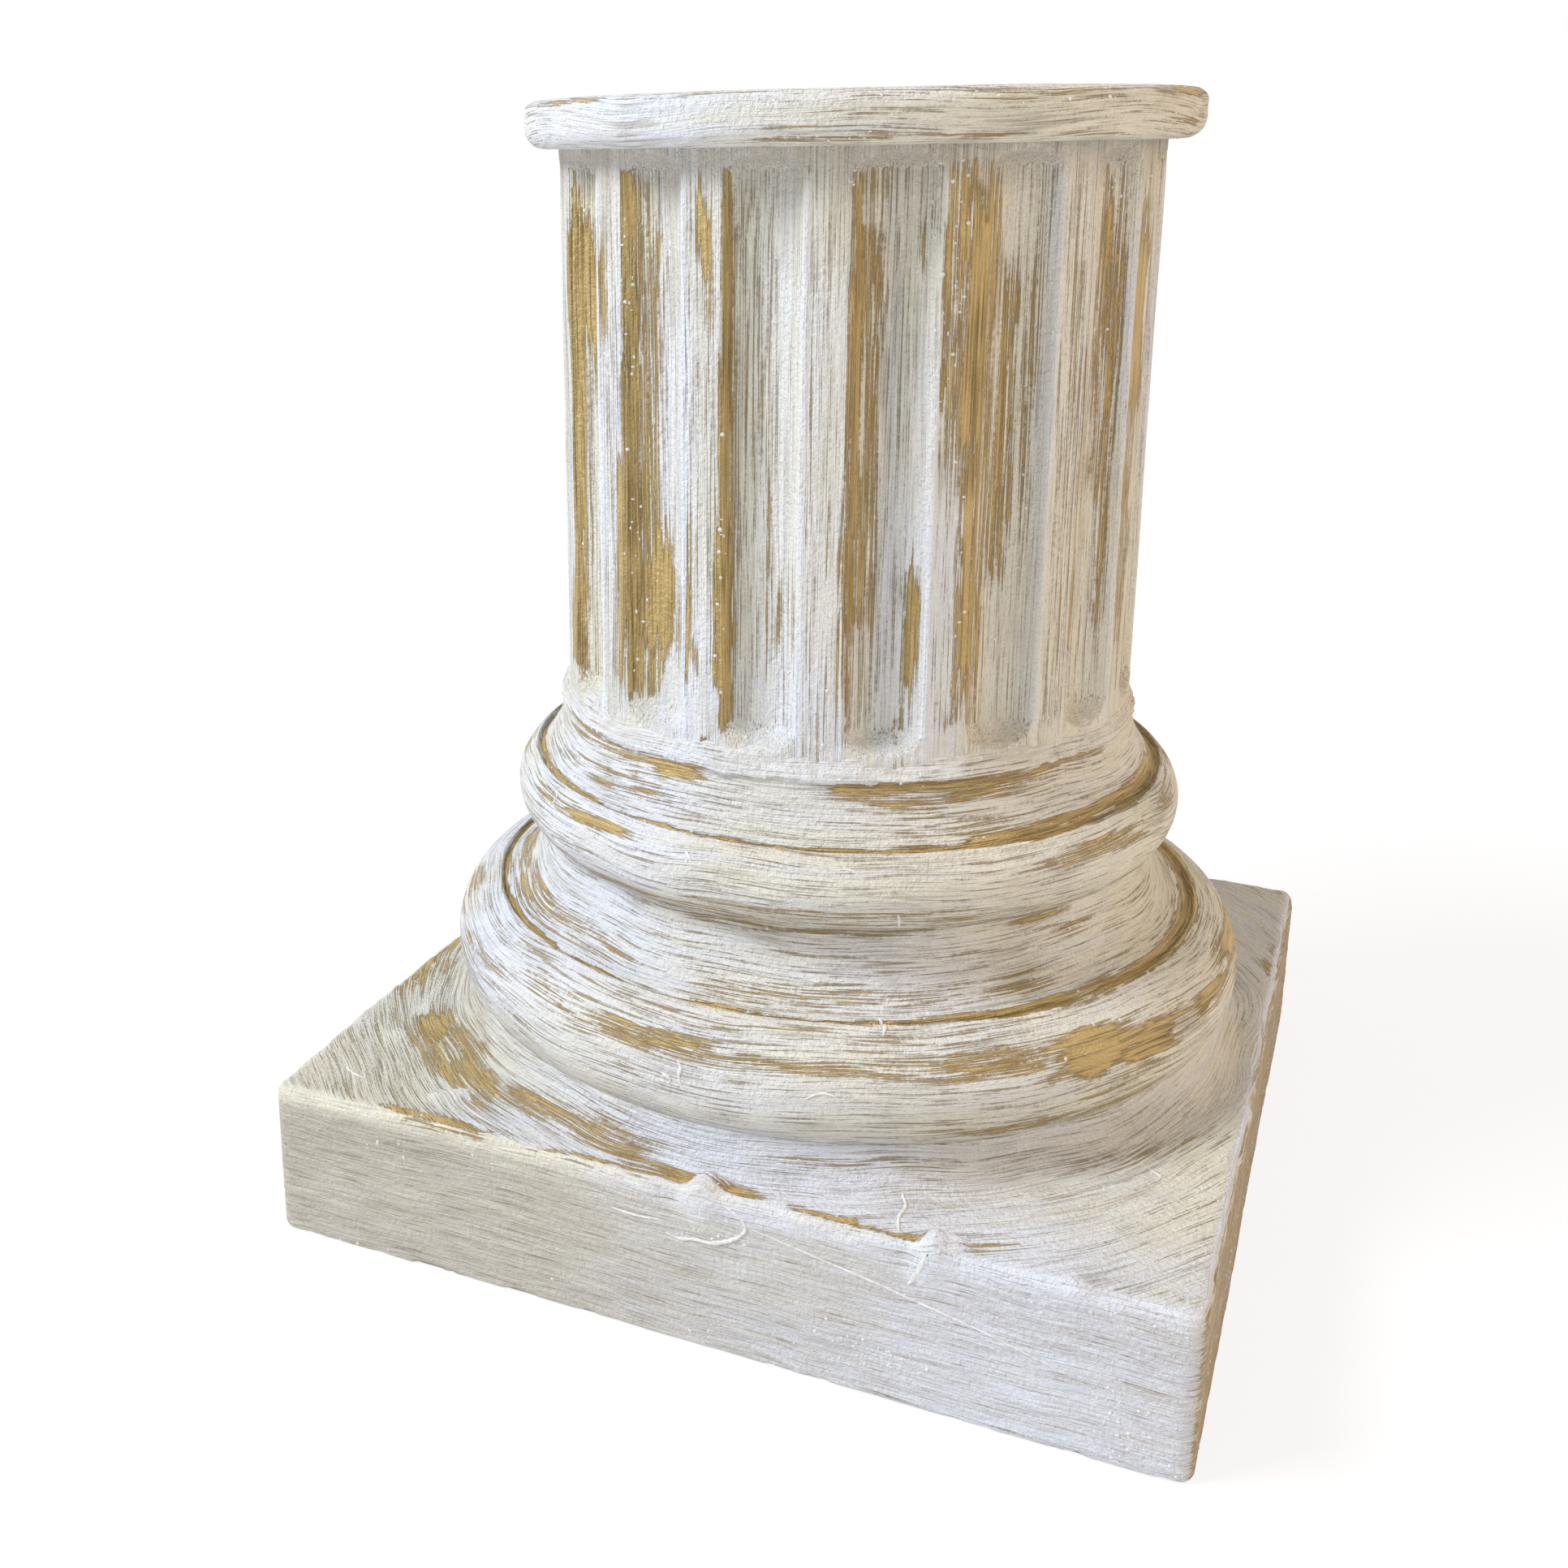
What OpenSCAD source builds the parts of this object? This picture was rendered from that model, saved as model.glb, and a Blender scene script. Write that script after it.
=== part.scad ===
// Short fluted column section, cast in one piece: a square plinth, a base of two round
// tori with a scotia between them, a fluted shaft and a thin round cap.
// Millimetres, +Z up, origin in the middle of the plinth's underside.

/* [Shaft] */
// Radius of the shaft over its fillets
shaft_r = 80.6; // [65:0.1:150]
// Height of the plain and fluted shaft, from the ledge to the cap
shaft_h = 149; // [80:1:900]
// How far the ledge at the shaft's foot stands out
ledge_out = 2.6; // [1.5:0.1:4]
// Height of the ledge
ledge_h = 6.4; // [5:0.2:10]
// Number of flutes
flute_count = 16; // [10:1:18]
// Width of a flute at the shaft's surface
flute_w = 20; // [12:0.5:21]
// Depth of a flute
flute_depth = 6.5; // [3:0.5:8]
// Turn of the flutes about the shaft, in degrees
flute_turn = 1.75; // [0:0.25:22.5]
// Plain shaft above the flutes
neck_h = 1; // [1:0.5:20]
// Plain shaft between the ledge and the flutes
foot_h = 0.5; // [0.5:0.5:10]
// Height over which a flute closes at its head
flute_head_h = 5; // [3:0.5:12]
// Height over which a flute runs out at its foot
flute_foot_h = 7; // [3:0.5:16]

/* [Base mouldings] */
// How far the lower torus stands out from the shaft
low_torus_out = 35; // [28:0.5:60]
// Section radius of the lower torus
low_torus_t = 17.6; // [14:0.1:24]
// How far the lower torus swells beyond the crease under it
low_swell = 3.4; // [1:0.1:8]
// How far the groove on the lower torus lies in from the torus's widest line
low_groove_in = 14; // [10:0.1:16]
// How far the upper torus stands out from the shaft
top_torus_out = 15.4; // [12:0.1:20]
// Section radius of the upper torus
top_torus_t = 12.4; // [9:0.1:16]
// How far the groove on the upper torus lies in from the torus's widest line
top_groove_in = 6.6; // [4:0.1:8]
// How far the scotia's throat lies in from the upper torus's widest line
scotia_in = 7.4; // [4:0.1:12]
// Height of the scotia, from its lip to the upper torus
scotia_h = 19.2; // [12:0.1:30]
// Width of a groove
groove_w = 2.4; // [1.5:0.1:3]
// Depth of a groove
groove_depth = 1.7; // [0.5:0.1:3]
// Height of the hollow band between the upper groove and the ledge
band_h = 14.5; // [9:0.5:30]
// How far the band is hollowed
band_hollow = 1.2; // [0:0.1:2]
// Height of the sweep, from the crease under the lower torus to the plinth's top
sweep_h = 11.5; // [6:0.5:20]

/* [Plinth] */
// How far the plinth's faces stand out from the lower torus
plinth_out = 9.4; // [6:0.1:30]
// Height of the plinth
plinth_h = 45.5; // [25:0.5:80]
// Gap between a plinth face and the end of the sweep on its top
sweep_margin = 4; // [3:0.5:5]
// Radius of the plinth's four upright corners
corner_r = 4.5; // [4:0.5:15]
// Radius of the plinth's top edges
top_edge_r = 3.5; // [1:0.5:4]
// Radius of the plinth's bottom edges
low_edge_r = 1.5; // [0.5:0.5:4]

/* [Cap] */
// How far the round cap stands out from the shaft
cap_out = 9.1; // [6:0.1:30]
// Thickness of the cap
cap_h = 12.5; // [10:0.5:30]
// Radius of the cap's upper edge
cap_top_edge_r = 3.5; // [1:0.5:4.5]
// Radius of the cap's lower edge
cap_low_edge_r = 5; // [1:0.5:5]

/* [Hidden] */

$fn = 96;
corner_fn = 32;      // sides of the round posts that the plinth's hull spans
arc_steps = 10;      // straight steps in a moulding's arc
edge_steps = 4;      // straight steps in a small rounded edge
flute_steps = 5;     // straight steps in a flute's head or foot
root_depth = 12;     // how far the mouldings reach down into the plinth
weld = 5;            // how far the shaft reaches into the base and the cap
run_out = 0.3;       // how far the sweep ends below the plinth's top
// Outline of the ledge, up to inside the shaft, as shares of its reach and of its height
ledge_shape = [[1, 0.2], [1, 0.45], [0.4, 0.8], [-1, 1.1]];
paint = "#e1ddd3";

// An elliptical arc about a centre, between two angles
function arc(centre, radii, from, to, steps) = [
    for (i = [0 : steps])
        let (a = from + (to - from) * i / steps)
        centre + [radii[0] * cos(a), radii[1] * sin(a)]
];

// A line that bows sideways between two points; a positive sag bows it to its left
function bow(from, to, sag, steps) =
    let (along = to - from, left = [-along[1], along[0]] / norm(along))
    [for (i = [0 : steps]) let (t = i / steps) from + along * t + left * (sag * 4 * t * (1 - t))];

// Angle on a torus's section of radius t at which it lies a given way in from its widest line
function torus_angle(in, t) = acos(1 - in / t);

// The torus's section, from the angle under it to the outer lip of the groove on it,
// then the groove itself, up to the groove's inner lip
function grooved_torus(torus_r, t, z, from, groove_in) =
    let (
        to = torus_angle(groove_in - groove_w / 2, t),
        groove_r = torus_r - groove_in,
        lip_z = z + t * sin(to)
    )
    concat(
        arc([torus_r - t, z], [t, t], from, to, arc_steps),
        [
            [groove_r + groove_w / 4, lip_z - groove_depth],
            [groove_r - groove_w / 4, lip_z - groove_depth],
            [groove_r - groove_w / 2, lip_z]
        ]
    );

// Radii of the mouldings, measured out from the shaft
low_torus_r = shaft_r + low_torus_out;
top_torus_r = shaft_r + top_torus_out;
crease_r = low_torus_r - low_swell;
scotia_r = top_torus_r - scotia_in;
plinth_side = 2 * (low_torus_r + plinth_out);
sweep_r = plinth_side / 2 - sweep_margin;
cap_r = shaft_r + cap_out;

// Heights of the mouldings, each on top of the one before
crease_z = plinth_h + sweep_h;
low_torus_from = -torus_angle(low_swell, low_torus_t);
low_torus_z = crease_z - low_torus_t * sin(low_torus_from);
low_torus = grooved_torus(low_torus_r, low_torus_t, low_torus_z, low_torus_from, low_groove_in);
scotia_lip = low_torus[len(low_torus) - 1];
scotia_z = scotia_lip[1] + scotia_h;
top_torus_from = -torus_angle(scotia_in, top_torus_t);
top_torus_z = scotia_z - top_torus_t * sin(top_torus_from);
top_torus = grooved_torus(top_torus_r, top_torus_t, top_torus_z, top_torus_from, top_groove_in);
band_foot = top_torus[len(top_torus) - 1];
ledge_z = band_foot[1] + band_h;
shaft_z = ledge_z + ledge_h;
cap_z = shaft_z + shaft_h;

// Half outline of the turned base, from inside the plinth to inside the shaft's foot
function base_outline() = concat(
    [[0, plinth_h - root_depth], [sweep_r, plinth_h - root_depth]],
    arc([sweep_r, crease_z], [sweep_r - crease_r, sweep_h + run_out], 270, 180, arc_steps),
    low_torus,
    arc([scotia_lip[0], scotia_z], [scotia_lip[0] - scotia_r, scotia_h], 270, 180, arc_steps),
    top_torus,
    bow(band_foot, [shaft_r + ledge_out / 2, ledge_z], band_hollow, edge_steps),
    [for (p = ledge_shape) [shaft_r + ledge_out * p[0], ledge_z + ledge_h * p[1]]],
    [[0, ledge_z + ledge_h * ledge_shape[len(ledge_shape) - 1][1]]]
);

// One corner post of the plinth: a short round post with rounded rims
module corner_post() {
    rotate_extrude($fn = corner_fn)
        polygon(concat(
            [[0, 0]],
            arc([corner_r - low_edge_r, low_edge_r], [low_edge_r, low_edge_r], 270, 360, edge_steps),
            arc([corner_r - top_edge_r, plinth_h - top_edge_r], [top_edge_r, top_edge_r],
                0, 90, edge_steps),
            [[0, plinth_h]]
        ));
}

// Square plinth with rounded corners and edges
module plinth() {
    reach = plinth_side / 2 - corner_r;
    hull()
        for (x = [-reach, reach], y = [-reach, reach])
            translate([x, y, 0]) corner_post();
}

// Turned mouldings between the plinth and the shaft
module base() {
    rotate_extrude() polygon(base_outline());
}

// The body that cuts one flute: a round bar with a domed head and foot
module flute_cutter() {
    half_w = flute_w / 2;
    floor_r = shaft_r - flute_depth;
    sag = sqrt(shaft_r * shaft_r - half_w * half_w) - floor_r;
    bar_r = (half_w * half_w + sag * sag) / (2 * sag);
    low = shaft_z + foot_h;
    high = cap_z - neck_h;
    translate([floor_r + bar_r, 0, 0])
        rotate_extrude()
            polygon(concat(
                arc([0, low + flute_foot_h], [bar_r, flute_foot_h], -90, 0, flute_steps),
                arc([0, high - flute_head_h], [bar_r, flute_head_h], 0, 90, flute_steps)
            ));
}

// Round shaft with its flutes
module shaft() {
    difference() {
        translate([0, 0, ledge_z - weld]) cylinder(r = shaft_r, h = cap_z + 2 * weld - ledge_z);
        for (i = [0 : flute_count - 1])
            rotate([0, 0, flute_turn + i * 360 / flute_count]) flute_cutter();
    }
}

// Thin round cap with a rounded rim
module cap() {
    top = cap_z + cap_h;
    rotate_extrude()
        polygon(concat(
            [[0, cap_z]],
            arc([cap_r - cap_low_edge_r, cap_z + cap_low_edge_r],
                [cap_low_edge_r, cap_low_edge_r], 270, 360, edge_steps),
            arc([cap_r - cap_top_edge_r, top - cap_top_edge_r],
                [cap_top_edge_r, cap_top_edge_r], 0, 90, edge_steps),
            [[0, top]]
        ));
}

module column_section() {
    color(paint) {
        plinth();
        base();
        shaft();
        cap();
    }
}

column_section();
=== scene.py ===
"""Short fluted column section in cast plaster, painted gold and dry-brushed with chalk white.

The casting is one body. It is drawn as four closed skins that meet at its natural creases:
the plinth with its sweep, the turned base, the fluted shaft and the cap. Each skin carries
the relief that the brush, the drips and the mould left, and the paint attributes that the
one painted finish reads: how bare of white it is, how warm the white, and how grey a thin
coat and painted shade make it. In places the bare, the warmth and the grey are painted
shade and painted highlight.
Lengths are in millimetres until a mesh is finished.
"""
import logging
from dataclasses import dataclass, field
from enum import Enum
from math import cos, hypot, pi, radians, sin, tau
from typing import Any

import bpy
import numpy as np
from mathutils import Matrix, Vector
from mathutils.bvhtree import BVHTree


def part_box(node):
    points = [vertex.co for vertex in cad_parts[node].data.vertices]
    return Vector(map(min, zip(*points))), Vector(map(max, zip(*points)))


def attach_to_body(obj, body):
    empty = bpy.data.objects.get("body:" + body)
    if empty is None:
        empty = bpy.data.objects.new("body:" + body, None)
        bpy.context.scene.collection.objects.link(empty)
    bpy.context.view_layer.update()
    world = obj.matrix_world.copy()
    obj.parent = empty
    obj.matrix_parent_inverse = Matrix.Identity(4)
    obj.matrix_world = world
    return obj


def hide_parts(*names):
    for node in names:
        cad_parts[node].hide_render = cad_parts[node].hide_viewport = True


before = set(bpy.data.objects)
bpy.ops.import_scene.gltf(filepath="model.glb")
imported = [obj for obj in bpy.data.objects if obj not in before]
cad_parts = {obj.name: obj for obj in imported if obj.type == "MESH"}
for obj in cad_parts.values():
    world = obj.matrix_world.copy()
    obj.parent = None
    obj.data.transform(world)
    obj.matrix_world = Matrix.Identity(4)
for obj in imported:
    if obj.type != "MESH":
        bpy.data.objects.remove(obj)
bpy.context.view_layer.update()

LOG = logging.getLogger("column_section")
NODE = "column_section"
BODY = "root"
MM = 0.001
MATH = "ShaderNodeMath"
MIX = "ShaderNodeMix"
NOISE = "ShaderNodeTexNoise"
RANGE = "ShaderNodeMapRange"


class Stretch(Enum):
    """How many times longer than wide the brush strokes on a surface are."""

    UPRIGHT = 95.0
    ROUND = 42.0
    FLAT = 34.0


# ---------------------------------------------------------------- numbers and noise

# Odd numbers and shifts that scramble a cell's place into a value with no pattern
CELL_FACTORS = (0x9E3779B1, 0x85EBCA77, 0xC2B2AE3D)
SEED_FACTOR = 2654435761
SCRAMBLES = ((15, 0x2C1B3C6D), (12, 0x297A2D39), (15, 1))
OCTAVE_SHARE = 0.55  # how strong each size of a fractal noise is beside the one before it
OCTAVE_GAIN = 1.5  # brings the sum of the sizes back to about -1 to 1

def smooth(value: np.ndarray, low: float, high: float) -> np.ndarray:
    """Eases a value from 0 at low to 1 at high.

    Args:
        value: The values.
        low: Where the result is 0.
        high: Where the result is 1; it may be less than low.

    Returns:
        The eased values, from 0 to 1.
    """
    share = np.clip((value - low) / (high - low), 0.0, 1.0)
    return share * share * (3.0 - 2.0 * share)


def lattice(cell: np.ndarray, seed: int) -> np.ndarray:
    """Gives each whole-number cell a fixed value.

    Args:
        cell: Whole numbers, shape (n, 3).
        seed: Which of the many tables of values to use.

    Returns:
        Values from -1 to 1, shape (n,).
    """
    every_bit = np.uint64(2**32 - 1)
    mixed = cell.astype(np.int64).astype(np.uint64)
    code = np.uint64(seed * SEED_FACTOR % 2**32)
    for axis, factor in enumerate(CELL_FACTORS):
        code = code ^ mixed[:, axis] * np.uint64(factor)
    code = code & every_bit
    for shift, factor in SCRAMBLES:
        code = (code ^ (code >> np.uint64(shift))) * np.uint64(factor) & every_bit
    return code.astype(np.float64) / (2**31 - 0.5) - 1.0


def noise(points: np.ndarray, size: float, seed: int) -> np.ndarray:
    """Smooth noise at points in space.

    Args:
        points: Where to sample, shape (n, 3).
        size: Spacing of the noise's lattice, in the unit of the points.
        seed: Which noise; each kind of mark has one of its own, so that no two line up.

    Returns:
        Values mostly from -1 to 1, shape (n,).
    """
    scaled = points / size
    cell = np.floor(scaled)
    share = scaled - cell
    ease = share * share * share * (share * (share * 6.0 - 15.0) + 10.0)
    total = np.zeros(len(points))
    for corner in range(8):
        step = np.array([corner & 1, corner >> 1 & 1, corner >> 2 & 1])
        weight = np.prod(np.where(step == 1, ease, 1.0 - ease), axis=1)
        total += weight * lattice(cell + step, seed)
    return total


def fractal(points: np.ndarray, size: float, seed: int, octaves: int = 3) -> np.ndarray:
    """Noise of several sizes added up, each half as large and a little over half as strong.

    Args:
        points: Where to sample, shape (n, 3).
        size: Spacing of the coarsest lattice.
        seed: Which noise.
        octaves: How many sizes.

    Returns:
        Values mostly from -1 to 1, shape (n,).
    """
    total = np.zeros(len(points))
    weight = 1.0
    weights = 0.0
    for octave in range(octaves):
        total += weight * noise(points, size / 2.0**octave, seed + octave)
        weights += weight
        weight *= OCTAVE_SHARE
    return total / weights * OCTAVE_GAIN


def turn_apart(angle: np.ndarray, other: float) -> np.ndarray:
    """Signed turn from one angle to others, in degrees, from -180 to 180."""
    return (angle - other + 180.0) % 360.0 - 180.0


def bearing(place: np.ndarray) -> np.ndarray:
    """Degrees round the axis from the front, -Y, towards +X."""
    return np.degrees(np.arctan2(place[:, 0], -place[:, 1]))


def clouds(place: np.ndarray) -> np.ndarray:
    """Slow change of the paint over a skin, in clouds some 40 mm across."""
    return fractal(place, 40.0, 71, 2)


def tints(strokes: np.ndarray, size: float = 3.0) -> np.ndarray:
    """Warmer and cooler strokes of the white, side by side; size is their width."""
    return 0.25 * noise(strokes, size, 72)


def arc(centre: tuple[float, float], radii: tuple[float, float], start: float, end: float,
        steps: int) -> list[tuple[float, float]]:
    """Points on an elliptical arc.

    Args:
        centre: Radius and height of the centre.
        radii: Reach outwards and upwards.
        start: First angle, in degrees.
        end: Last angle, in degrees.
        steps: How many steps lie between the two.

    Returns:
        The points, as (radius, height).
    """
    angles = [radians(start + (end - start) * step / steps) for step in range(steps + 1)]
    return [(centre[0] + radii[0] * cos(a), centre[1] + radii[1] * sin(a)) for a in angles]


# ---------------------------------------------------------------- paint patches


@dataclass(frozen=True)
class Patch:
    """A place where the white paint is thin or gone, or very thick where amount is negative; a few
    patches stand for painted shade and a painted highlight.

    u and v are the middle, in the surface's own two directions: degrees round from the front
    and a height, a way along the outline, or x and y on a flat top. turn swings the patch
    about its middle, in degrees.
    """

    u: float
    v: float
    half_u: float
    half_v: float
    amount: float
    turn: float = 0.0


LOOSE = 0.22  # how far a patch's outline swells or shrinks, as a share of its half size
WIDEST_FADE = 0.7  # the widest fade at a patch's edge, as a share of its half size


def placed(*rows: tuple[float, ...]) -> list[Patch]:
    """Patches from rows of u, v, half_u, half_v, amount and, where it has one, turn."""
    return [Patch(*row) for row in rows]


@dataclass
class Surface:
    """What the paint and the relief need to know at every vertex of a skin.

    soft is how far a patch's edge fades, and rag how far it strays, in u and in v. Where the
    brush turned to another face, turned marks that face's vertices and turned_strokes holds
    the stroke space of its faces.
    """

    place: np.ndarray
    normal: np.ndarray
    strokes: np.ndarray
    u: np.ndarray
    v: np.ndarray
    soft: tuple[float, float]
    rag: tuple[float, float]
    seed: int
    round_about: bool = True
    turned: np.ndarray | None = None
    turned_strokes: np.ndarray | None = None

    def corner_strokes(self, mesh: bpy.types.Mesh) -> np.ndarray:
        """The stroke space at each face corner, so that no face straddles two directions.

        Args:
            mesh: The skin's mesh.

        Returns:
            Points in stroke space, shape (corners, 3).
        """
        corners = np.empty(len(mesh.loops), dtype=np.int32)
        mesh.loops.foreach_get("vertex_index", corners)
        if self.turned is None:
            return self.strokes[corners]
        starts = np.empty(len(mesh.polygons), dtype=np.int32)
        sizes = np.empty(len(mesh.polygons), dtype=np.int32)
        mesh.polygons.foreach_get("loop_start", starts)
        mesh.polygons.foreach_get("loop_total", sizes)
        beyond = np.repeat(np.logical_or.reduceat(self.turned[corners], starts), sizes)
        return np.where(beyond[:, None], self.turned_strokes[corners], self.strokes[corners])

    def patches(self, patches: list[Patch]) -> np.ndarray:
        """How bare the patches leave each vertex.

        Args:
            patches: The patches; where they overlap the barest wins, and thick paint is
                taken off at the end.

        Returns:
            Values from -1 to 1, shape (n,).
        """
        ragged = fractal(self.strokes, 1.5, self.seed + 40, 3)
        loose = fractal(self.place, 8.0, self.seed + 50, 3)
        bare = np.zeros(len(self.u))
        thick = np.zeros(len(self.u))
        for patch in patches:
            du = turn_apart(self.u, patch.u) if self.round_about else self.u - patch.u
            dv = self.v - patch.v
            if patch.turn:
                c, s = cos(radians(patch.turn)), sin(radians(patch.turn))
                du, dv = du * c + dv * s, dv * c - du * s
            here = np.full(len(self.u), abs(patch.amount))
            for off, half, soft, rag in zip((du, dv), (patch.half_u, patch.half_v), self.soft,
                                            self.rag):
                off = np.abs(off + rag * ragged + LOOSE * half * loose)
                fade = min(soft, WIDEST_FADE * half)
                here = here * smooth(off, half + fade, half - fade)
            if patch.amount > 0:
                bare = np.maximum(bare, here)
            else:
                thick = np.maximum(thick, here)
        return bare - thick


@dataclass
class Coat:
    """The painted state of a skin, one value a vertex.

    bare, tone and wash are shares, crumbs is a count for each square millimetre, and
    lift is in millimetres. In places bare, tone and wash hold painted shade and
    painted highlight.
    """

    bare: np.ndarray
    tone: np.ndarray
    wash: np.ndarray
    crumbs: np.ndarray
    lift: np.ndarray


# ---------------------------------------------------------------- meshes


class MeshKit:
    """Turns arrays of points into closed Blender meshes."""

    @staticmethod
    def rings(name: str, rings: np.ndarray, low: tuple[float, float, float],
              high: tuple[float, float, float]) -> bpy.types.Object:
        """Makes a closed skin from rings stacked upwards, with a fan to a pole at each end.

        Args:
            name: The piece's name.
            rings: Points, shape (rows, columns, 3), each ring counter-clockwise from above.
            low: The pole under the first ring.
            high: The pole over the last ring.

        Returns:
            The new object, still in millimetres.
        """
        rows, columns = rings.shape[:2]
        points = np.concatenate([rings.reshape(-1, 3), [low], [high]])
        here = np.arange(columns)
        after = (here + 1) % columns
        start = (np.arange(rows - 1) * columns)[:, None]
        quads = np.stack([start + here, start + after, start + columns + after,
                          start + columns + here], axis=-1).reshape(-1, 4)
        top = (rows - 1) * columns
        under = np.stack([after, here, np.full(columns, rows * columns)], axis=-1)
        over = np.stack([top + here, top + after, np.full(columns, rows * columns + 1)], axis=-1)
        mesh = bpy.data.meshes.new(name)
        mesh.from_pydata(points.tolist(), [], quads.tolist() + under.tolist() + over.tolist())
        piece = bpy.data.objects.new(name, mesh)
        bpy.context.scene.collection.objects.link(piece)
        return piece

    @staticmethod
    def turned(name: str, outline: np.ndarray, columns: int) -> bpy.types.Object:
        """Makes a closed skin by turning an outline round the axis.

        Args:
            name: The piece's name.
            outline: Radius and height of each ring, from the bottom up.
            columns: How many points a ring has.

        Returns:
            The new object, still in millimetres.
        """
        angle = np.arange(columns) * tau / columns - pi / 2
        ring = np.column_stack([np.cos(angle), np.sin(angle)])
        rings = np.array([np.column_stack([r * ring, np.full(columns, z)]) for r, z in outline])
        return MeshKit.rings(name, rings, (0, 0, outline[0][1]), (0, 0, outline[-1][1]))

    @staticmethod
    def read(piece: bpy.types.Object) -> tuple[np.ndarray, np.ndarray]:
        """Reads a mesh.

        Args:
            piece: The object that has the mesh.

        Returns:
            Its vertices and their normals, each of shape (n, 3).
        """
        count = len(piece.data.vertices)
        place = np.empty(count * 3)
        normal = np.empty(count * 3)
        piece.data.vertices.foreach_get("co", place)
        piece.data.vertices.foreach_get("normal", normal)
        return place.reshape(-1, 3), normal.reshape(-1, 3)

    @staticmethod
    def store(piece: bpy.types.Object, place: np.ndarray, half: float, top: float) -> None:
        """Moves a mesh's vertices, keeps them in the casting's box and shades it smooth.

        Args:
            piece: The object that has the mesh.
            place: The vertices, in metres.
            half: Half the box's side, in millimetres.
            top: The box's height, in millimetres.
        """
        place[:, :2] = np.clip(place[:, :2], -half * MM, half * MM)
        place[:, 2] = np.clip(place[:, 2], 0.0, top * MM)
        piece.data.vertices.foreach_set("co", place.ravel())
        piece.data.update()
        piece.data.shade_smooth()

    @staticmethod
    def paint(mesh: bpy.types.Mesh, surface: Surface, coat: Coat) -> None:
        """Stores the paint as attributes.

        Args:
            mesh: The skin's mesh.
            surface: Where its vertices are.
            coat: Its paint.
        """
        values = {"bare": coat.bare, "tone": np.clip(coat.tone, 0.0, 1.0), "wash": coat.wash,
                  "crumbs": coat.crumbs / MM**2}
        for name, each in values.items():
            stored = mesh.attributes.new(name, "FLOAT", "POINT")
            stored.data.foreach_set("value", each.astype(np.float32))
        stored = mesh.attributes.new("strokes", "FLOAT_VECTOR", "CORNER")
        strokes = surface.corner_strokes(mesh).astype(np.float32)
        stored.data.foreach_set("vector", strokes.ravel())


# ---------------------------------------------------------------- node wiring


@dataclass
class Wiring:
    """Adds nodes to a tree and remembers their results by name."""

    tree: bpy.types.NodeTree
    known: dict[str, Any] = field(default_factory=dict)

    def add(self, name: str, kind: str, inputs: dict | tuple = (), output: int | str = 0,
            **settings: Any) -> bpy.types.Node:
        """Adds one node with its settings and links.

        Args:
            name: What its result is called from here on.
            kind: Blender's name for the kind of node.
            inputs: Values by socket, or in the order of the sockets. A string is the name
                of an earlier result, and anything else is set on the socket.
            output: Which socket gives the result.
            settings: The node's own properties.

        Returns:
            The node.
        """
        node = self.tree.nodes.new(kind)
        for key, value in settings.items():
            setattr(node, key, value)
        pairs = inputs.items() if isinstance(inputs, dict) else enumerate(inputs)
        for key, value in pairs:
            if isinstance(value, str) and value in self.known:
                self.tree.links.new(self.known[value], node.inputs[key])
            else:
                node.inputs[key].default_value = value
        if len(node.outputs):
            self.known[name] = node.outputs[output]
        return node

    def ending(self, name: str) -> bpy.types.NodeTree:
        """Makes a result real, gives it the tree's material and sends it out.

        Args:
            name: The result.

        Returns:
            The finished tree.
        """
        self.add("real", "GeometryNodeRealizeInstances", {"Geometry": name})
        self.add("dressed", "GeometryNodeSetMaterial", {"Geometry": "real",
                                                        "Material": "Material"})
        self.add("end", "NodeGroupOutput", {"Result": "dressed"})
        return self.tree


def wiring_of(block: bpy.types.Material | bpy.types.World) -> Wiring:
    """Empties the node tree of a material or a world.

    Args:
        block: What has the tree.

    Returns:
        The wiring of the empty tree.
    """
    block.use_nodes = True
    block.node_tree.nodes.clear()
    return Wiring(block.node_tree)


def wiring_for(form: str, inputs: dict[str, str]) -> Wiring:
    """Starts a geometry tree that has one output, and inputs known by their names.

    Args:
        form: The tree's name.
        inputs: The kind of socket by name, besides the material.

    Returns:
        The wiring of the new tree.
    """
    w = Wiring(bpy.data.node_groups.new(form, "GeometryNodeTree"))
    w.tree.interface.new_socket("Result", in_out="OUTPUT", socket_type="NodeSocketGeometry")
    for name, kind in {**inputs, "Material": "Material"}.items():
        w.tree.interface.new_socket(name, in_out="INPUT", socket_type="NodeSocket" + kind)
    for socket in w.add("group_inputs", "NodeGroupInput").outputs:
        w.known[socket.name] = socket
    return w


def linear(code: str) -> tuple[float, float, float, float]:
    """Turns an sRGB colour into the linear one that a shader takes.

    Args:
        code: The colour, as # and six hex digits.

    Returns:
        Red, green, blue and an alpha of 1.
    """
    parts = [int(code[i:i + 2], 16) / 255.0 for i in (1, 3, 5)]
    bent = [p / 12.92 if p <= 0.04045 else ((p + 0.055) / 1.055) ** 2.4 for p in parts]
    return (bent[0], bent[1], bent[2], 1.0)


# ---------------------------------------------------------------- finishes


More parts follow.
